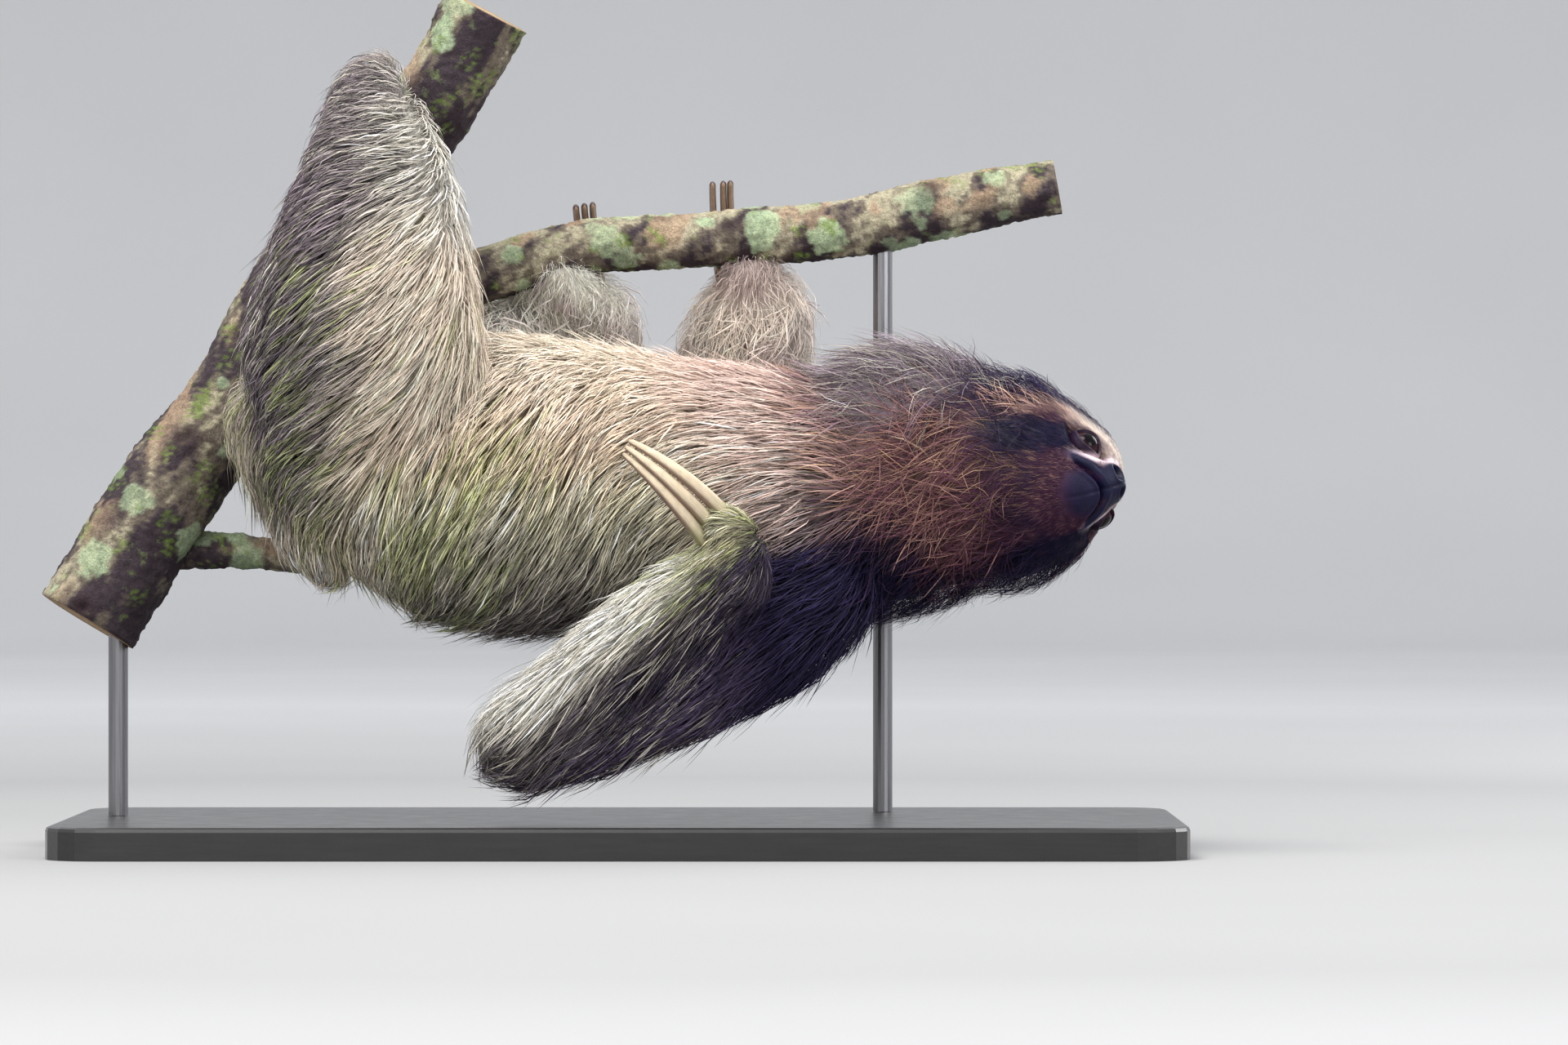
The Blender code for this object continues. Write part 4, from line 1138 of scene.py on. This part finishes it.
def eye_finish():
    m = Nodes("eye_finish", 0.06)
    turn, streaks = m.stored("ring"), m.noise(1400.0, 5.0)
    tones = linear((5, 3, 6), (7, 4, 8), (38, 20, 26), (50, 28, 34), (20, 11, 18), (44, 28, 38))
    colour = m.ramp(turn, *zip((0.0, 0.26, 0.31, 0.56, 0.74, 0.9), tones))
    colour = m.shade(colour, streaks, 0.6, (0.3, 0.55), (0.7, 1.3))
    return m.finish(colour, (streaks, 0.04, 0.1), Specular_IOR_Level=0.12)


def claw_finish():
    m = Nodes("claw_finish", 0.35)
    tint, lines = m.stored(), m.noise(2.0, stretch=(40.0, 1.2, 1.0), uv="Strand")
    colour = m.shade(tint, lines, 0.8, (0.25, 0.45), (0.7, 1.2))
    return m.finish(colour, (lines, 0.25, 0.55), (lines, 0.5, 0.0008), Coat_Weight=0.15, Coat_Roughness=0.3)


def bark_finish():
    m = Nodes("bark_finish", 0.85)
    tint, grain = m.stored(), m.noise(380.0, 6.0, 0.7)
    specks, patches = m.noise(1100.0, 3.0), m.noise(90.0)
    colour = m.shade(tint, grain, 0.8, (0.3, 0.45), (0.68, 1.35))
    colour = m.shade(colour, specks, 0.6, (0.35, 0.55), (0.6, 1.1))
    colour = m.blend(colour, linear(120, 138, 78), m.ramp(patches, (0.6, 0.0), (0.72, 0.45)))
    relief = m.blend(grain, specks, 0.4), 0.8, 0.0022
    return m.finish(colour, (grain, 0.7, 0.98), relief, Specular_IOR_Level=0.25)


def base_finish():
    m = Nodes("base_finish", 0.3)
    grain, dust = m.noise(6.0, 6.0, stretch=(4.0, 60.0, 60.0)), m.noise(55.0, 5.0)
    colour = m.ramp(grain, (0.25, linear(20, 19, 19)), (0.75, linear(34, 32, 31)))
    return m.finish(colour, (dust, 0.24, 0.42), (grain, 0.15, 0.0006), Coat_Weight=0.3, Coat_Roughness=0.25)


def rod_finish():
    m = Nodes("rod_finish", 0.3)
    brush = m.noise(3.0, 3.0, stretch=(900.0, 900.0, 12.0))
    colour = m.ramp(brush, (0.2, linear(118, 118, 121)), (0.8, linear(148, 148, 150)))
    return m.finish(colour, (brush, 0.26, 0.44), (brush, 0.12, 0.0002), Metallic=1.0)


# ---------- eyes, claws
def build_eye(side, name, finish):
    centre, along, across, out = eye_frame(side)
    rings, segments = 39, 56
    turns, spins = math.pi * np.arange(1, rings + 1) / (rings + 1), circle(segments)
    ring = np.outer(np.cos(spins), along) + np.outer(np.sin(spins), across)
    points = []
    for turn in turns:
        reach = EYE_RADIUS + EYE_BULGE * math.exp(-((turn / 0.62) ** 4))
        points.append(centre + (ring * math.sin(turn) + out * math.cos(turn)) * reach)
    points.append([centre + out * (EYE_RADIUS + EYE_BULGE), centre - out * EYE_RADIUS])
    made = new_object(name, from_head(np.concatenate(points)), ring_faces(rings, segments))
    shares = np.concatenate([np.repeat(turns, segments), [0.0, math.pi]]) / 1.5
    paint(made.data, "ring", np.repeat(shares[:, None], 3, axis=1))
    hand_in(made, finish, "eye", name)


HAND_CLAWS = tenths(  # root, middle and tip of each free claw
    ((625, -1045, 1815), (370, -1135, 2065), (81, -1000, 2255)),
    ((545, -1050, 1765), (310, -1130, 2015), (59, -995, 2220)),
    ((480, -1040, 1705), (270, -1110, 1965), (45, -980, 2180)),
)
GRIPS = (  # hand or foot, perch, distance along it, start and end angles, near and far reach, first axis
    ("foot_left", STEM, 0.3, (158.0, 28.0, 0.0295, 0.03), (1, 0, 0)),
    ("foot_right", BRANCH, 0.198, (-78.0, 82.0, 0.0205, 0.0232), (0, 1, 0)),
    ("hand_right", BRANCH, 0.275, (-80.0, 80.0, 0.021, 0.031), (0, 1, 0)),
)
GRIP_SPACING, CLAW_HALF_HEIGHT, CLAW_HALF_WIDTH = 0.0047, 0.0048, 0.0034
CLAW_TIP, CLAW_TAPER, PALM_CLAW_WIDTH = 0.42, 1.6, 0.0044
# Colours of horn, its back and its grooves; the back's colour is also a painted highlight and the grooves'
# colour also painted shade.
PALM_HORN = linear((250, 232, 196), (252, 244, 228), (98, 62, 56))
DARK_HORN = linear((88, 62, 54), (168, 138, 116), (40, 26, 30))


def free_claw(root, middle, tip):
    bend = 2 * middle - 0.5 * (root + tip)
    t = np.linspace(0, 1, 26)[:, None]
    return (1 - t) ** 2 * root + 2 * t * (1 - t) * bend + t * t * tip


def grip_claw(perch, along, grip, first):
    """A claw bent round a branch at a distance along it."""
    fine = spline(perch[:, :3], 200)
    k = int(np.searchsorted(walk(fine), along))
    centre, tangent = fine[k], unit(fine[k + 1] - fine[k - 1])
    first = unit(first - tangent * tangent.dot(first))
    second = np.cross(tangent, first)
    if second[2] < 1e-6:
        second = -second
    start, end, near, far = grip
    t = np.linspace(0, 1, 30)
    turn = np.radians(start + (end - start) * t)
    reach = near + (far - near) * t * t
    return centre + (np.outer(np.cos(turn), first) + np.outer(np.sin(turn), second)) * reach[:, None]


def build_claw(name, line, finish, pale):
    """A horn claw, round on its back, with a groove on each side and under it; its back is painted paler as a
    highlight, and its sides and inner curve darker, partly as grooves and partly as painted shade.
    """
    segments, t = 24, np.linspace(0, 1, len(line))
    share = 1 - (1 - CLAW_TIP) * t**CLAW_TAPER
    tall = CLAW_HALF_HEIGHT * share
    wide = PALM_CLAW_WIDTH * (1 - 0.58 * t**2.2) if pale else CLAW_HALF_WIDTH * (0.52 + 0.14 * share)
    bow = line[len(line) // 2] - (line[0] + line[-1]) / 2
    side = unit(np.cross(line[-1] - line[0], bow))

    def shape(turns):
        keel = np.abs(np.sin(turns))
        return 1 - 0.1 * bell(keel - 0.8, 0.12) - 0.06 * keel**6

    points, faces = tube(line, tall, wide, segments, side, (0.002, tall[-1] * 1.6), shape)
    made = new_object(name, points, faces)
    rows = (len(points) - 2) // segments
    t = np.repeat(np.clip((np.arange(rows) - 3) / (rows - 7), 0, 1), segments)
    turn = np.tile(circle(segments), rows)
    outer = np.cos(turn) * (1 if np.dot(np.cross(side, line[1] - line[0]), bow) < 0 else -1)
    t, outer, turn = (np.concatenate([v, [v[0], v[-1]]]) for v in (t, outer, turn))
    # The side that faces down, the sides toward neighbouring claws and the inner curve are painted dark:
    # partly grooves, partly painted shade.
    low_side = np.sin(turn) * (-1 if side[2] > 0 else 1)
    if pale:
        groove = np.maximum(0.9 * ease(low_side, 0.5, 0.85), 0.6 * ease(-low_side, 0.92, 1.0))
    else:
        groove = 0.6 * ease(np.abs(low_side), 0.6, 0.9)
    horn, back, deep = PALM_HORN if pale else DARK_HORN
    colour = lay(
        horn, len(t), (back, ease(outer, 0.35, 0.85) * (0.65 + 0.35 * t)),
        (deep, np.clip(groove + fade(outer, -0.95, -0.5) * 0.4, 0, 1)),
        (ALGAE * 0.8, fade(t, 0.05, 0.3) * (0.45 if pale else 0.1)),
    )
    paint(made.data, "tint", np.clip(colour * (1 + 0.12 * lumps(points, 0.004, 77))[:, None], 0.01, 0.95))
    strand = columns(np.sin(turn) * 0.5 + 0.5, t)
    corners = fetch(made.data.loops, "vertex_index", 1, np.int32)
    store(made.data.uv_layers.new(name="Strand").uv, "vector", strand[corners])
    hand_in(made, finish, "claw", name)


# ---------- perch and stand
SAWN_EDGE, SAWN_END, BARK_SUNK = 0.0016, 0.15, 0.0006  # the ends' bevel and its share of a step; bark's depth
WOODS = (  # name, rows, segments, spacing, knots as place, size and height, lichens, paleness, seed
    ("perch_stem", STEM, 96, 0.0018,
     (((-0.243, 0.006, 0.231), 0.01, 0.004), ((-0.3, -0.01, 0.135), 0.009, 0.004)), 40, -0.25, 61),
    ("perch_branch", BRANCH, 64, 0.0016,
     (((0.172, 0.06, 0.374), 0.008, 0.003), ((0.06, 0.052, 0.35), 0.007, 0.0015)), 60, 0.45, 62),
    ("perch_stump", STUMP, 40, 0.0018, (), 10, 0.3, 63),
)


def build_wood(finish, name, rows, segments, spacing, knots, marks, pale, seed):
    """A branch with uneven bark, knots and lichen, paler on top and darker beneath as painted light and
    shade, sawn flat at both ends.
    """
    fine = spline(rows, 400)
    lengths = walk(fine[:, :3])
    where = np.linspace(0, lengths[-1], int(lengths[-1] / spacing))
    smooth = columns(*(np.interp(where, lengths, column) for column in fine.T))
    ends = smooth[[0, -1]] + (smooth[[0, -1]] - smooth[[1, -2]]) * SAWN_END
    ends[:, 3] = smooth[[0, -1], 3] - SAWN_EDGE
    smooth = np.concatenate([ends[:1], smooth, ends[1:]])
    points, faces = tube(smooth[:, :3], smooth[:, 3], smooth[:, 3], segments)
    axis, radius = np.repeat(smooth[:, :3], segments, axis=0), np.repeat(smooth[:, 3], segments)
    body = points[:-2]
    out = unit(body - axis)
    rise = 0.035 * radius * lumps(body, 0.05, seed) + 0.0006 * lumps(body, 0.009, seed + 1, 9)
    rise += 0.00035 * lumps(body, 0.0035, seed + 2, 11)
    rise += 0.00025 * lumps(body * (1, 1, 3.0), 0.004, seed + 3, 9)
    knot_share, disc, rim = np.zeros((3, len(body)))
    for spot, size, height in knots:
        away = np.linalg.norm(body - np.array(spot), axis=1) / size
        rise += height * np.exp(-(away**2)) - 1.3 * height * bell(away, 0.42)
        knot_share = np.maximum(knot_share, np.exp(-(away**2)))
    draw = np.random.default_rng(seed)
    ragged = 0.22 * lumps(body, 0.008, seed + 9)
    for mark in draw.choice(len(body), marks, replace=False):
        away = np.linalg.norm(body - body[mark], axis=1) / draw.uniform(0.003, 0.012) + ragged
        disc = np.maximum(disc, fade(away, 0.8, 1.0) * draw.uniform(0.5, 1.0))
        rim = np.maximum(rim, bell(away - 1.12, 0.14))
    rise += 0.0005 * disc
    body += out * (rise - BARK_SUNK)[:, None]
    made = new_object(name, points, faces)
    # Bark that faces up is painted paler and gets tan patches, and bark that faces down is painted
    # near-black: painted light and painted shade.
    up = out[:, 2] * 0.8 - out[:, 0] * 0.35
    fine, tiny = lumps(body, 0.01, seed + 5), lumps(body, 0.0045, seed + 8)
    patchy = lumps(body, 0.034, seed + 4) + 0.5 * fine + 0.25 * tiny
    tan = ease(lumps(body, 0.04, seed + 10) + 0.2 * fine, 0.35, 0.5) * ease(up + pale, 0.0, 0.5) * 0.8
    bark = lay(
        linear(60, 50, 56), len(body),
        (linear(108, 98, 86), ease(patchy + pale + 0.6 * up, -0.35, 0.1)),
        (linear(164, 156, 132), ease(patchy + pale + 0.9 * up, 0.55, 0.8)), (linear(162, 138, 114), tan),
        (linear(46, 34, 42), fade(up + 0.3 * patchy, -0.85, -0.35) * 0.85),
        (linear(60, 46, 48), rim * 0.45), (linear(160, 178, 142), disc * 0.85),
        (linear(48, 32, 36), knot_share * 0.85),
        (linear(112, 136, 58), ease(lumps(body, 0.022, seed + 6) + 0.5 * tiny, 0.75, 1.2) * 0.65),
    )
    rim_wood, heart_wood = linear((150, 122, 92), (186, 158, 120))
    bark[:segments] = bark[-segments:] = rim_wood
    paint(made.data, "tint", np.clip(np.concatenate([bark, [heart_wood] * 2]), 0.01, 0.9))
    hand_in(made, finish, "bark", name)


# ---------- room, lights, camera
VIEW_MIDDLE, VIEW_WIDTH, VIEW_DISTANCE, NEAR_PLANE = (0.09, 0.1823), 0.864, 4.0, -0.045
FLOOR_RADIUS, WALL_CURVE, WALL_TOP = 6.6, 1.4, 2.6
LIGHT_AIM = Vector((0.03, 0.0, 0.22))
LIGHTS = (  # name, place, size, power, colour
    ("light_top", (-0.5, -0.6, 2.2), (1.6, 1.2), 66.0, (1.0, 0.985, 0.96)),
    ("light_front", (-1.0, -2.6, 1.3), (1.6, 1.6), 30.0, (1.0, 0.98, 0.97)),
    ("light_fill", (1.9, -1.6, 1.0), (1.0, 1.2), 24.0, (0.97, 0.97, 1.0)),
    ("light_back", (1.8, 1.1, 1.2), (1.0, 1.2), 26.0, (1, 1, 1)),
)


def build_room():
    """A pale round floor that curves up into a low wall on every side."""
    outline = [(3.0, 0.0), (FLOOR_RADIUS, 0.0)]
    for a in np.linspace(0.1, math.pi / 2, 12):
        outline.append((FLOOR_RADIUS + WALL_CURVE * math.sin(a), WALL_CURVE - WALL_CURVE * math.cos(a)))
    outline.append((FLOOR_RADIUS + WALL_CURVE, WALL_TOP))
    segments = 72
    points = [(r * math.cos(t), r * math.sin(t), z) for r, z in outline for t in circle(segments)]
    points.append((0, 0, 0))
    faces = [face for face in ring_faces(len(outline), segments) if max(face) < len(points)]
    made = new_object("room", points, faces, outward=False)
    m = Nodes("room_finish", 0.9)
    ball = m.add("TexGradient", m.place((0.22, 0.22, 0.22)), "Fac", gradient_type="SPHERICAL")
    cloud = m.noise(1.5, 2.0)
    colour = m.shade(m.ramp(ball, (0.3, 0.66), (0.75, 0.31)), cloud, 1.0, (0.3, 0.96), (0.7, 1.0))
    made.data.materials.append(m.finish(colour))


def build_lights_and_camera():
    scene = bpy.context.scene
    for name, spot, (size, size_y), power, colour in LIGHTS:
        data = bpy.data.lights.new(name, "AREA")
        data.shape, data.size, data.size_y, data.energy, data.color = "RECTANGLE", size, size_y, power, colour
        made = place(bpy.data.objects.new(name, data), smooth=False)
        made.location = spot
        made.rotation_euler = (LIGHT_AIM - Vector(spot)).to_track_quat("-Z", "Y").to_euler()
    scene.world = bpy.data.worlds.new("studio")
    scene.world.use_nodes = True
    colour, strength, *_ = scene.world.node_tree.nodes["Background"].inputs
    colour.default_value, strength.default_value = (0.86, 0.88, 0.92, 1), 1.05
    data = bpy.data.cameras.new("camera")
    data.sensor_width, data.lens, data.clip_end = 36.0, 36.0 * VIEW_DISTANCE / VIEW_WIDTH, 30.0
    camera = place(bpy.data.objects.new("camera", data), smooth=False)
    camera.location = (VIEW_MIDDLE[0], NEAR_PLANE - VIEW_DISTANCE, VIEW_MIDDLE[1])
    camera.rotation_euler = (math.pi / 2, 0, 0)
    scene.camera = camera
    scene.view_settings.view_transform = "Standard"


# ---------- all together
def main():
    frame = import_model()
    finishes = {
        "coat": hair_finish("coat_finish", 0.3), "coat_dark": hair_finish("coat_dark_finish", 0.18),
        "skin": skin_finish(), "eye": eye_finish(), "claw": claw_finish(), "bark": bark_finish(),
        "base": base_finish(), "rod": rod_finish(),
    }
    body = build_skin()
    skin = Skin(body.data)
    under_coat = 0.55 - 0.22 * skin.rusty * ease(skin.length, 0.012, 0.022)
    tint = mix(skin.colour * under_coat[:, None], skin.colour, skin.bare)
    paint(body.data, "tint", np.clip(tint, 0.003, 0.9))
    flesh = [name for name in frame["nodes"] if not name.startswith(("eye_", "claw_", "perch_", "stand_"))]
    hand_in(body, finishes["skin"], "coat", *flesh)
    build_coat(skin, finishes)
    build_eye(1, "eye_right", finishes["eye"])
    build_eye(-1, "eye_left", finishes["eye"])
    for k, places in enumerate(HAND_CLAWS, 1):
        build_claw(f"claw_hand_left_{k}", free_claw(*places), finishes["claw"], True)
    for owner, perch, along, grip, axis in GRIPS:
        for k in (-1, 0, 1):
            line = grip_claw(perch, along + k * GRIP_SPACING, grip, axis)
            build_claw(f"claw_{owner}_{k + 2}", line, finishes["claw"], False)
    for wood in WOODS:
        build_wood(finishes["bark"], *wood)
    for name, node in frame["nodes"].items():
        if name.startswith("stand_"):
            node.data.materials.clear()
            node.data.materials.append(finishes["base" if name == "stand_base" else "rod"])
    build_room()
    build_lights_and_camera()


main()
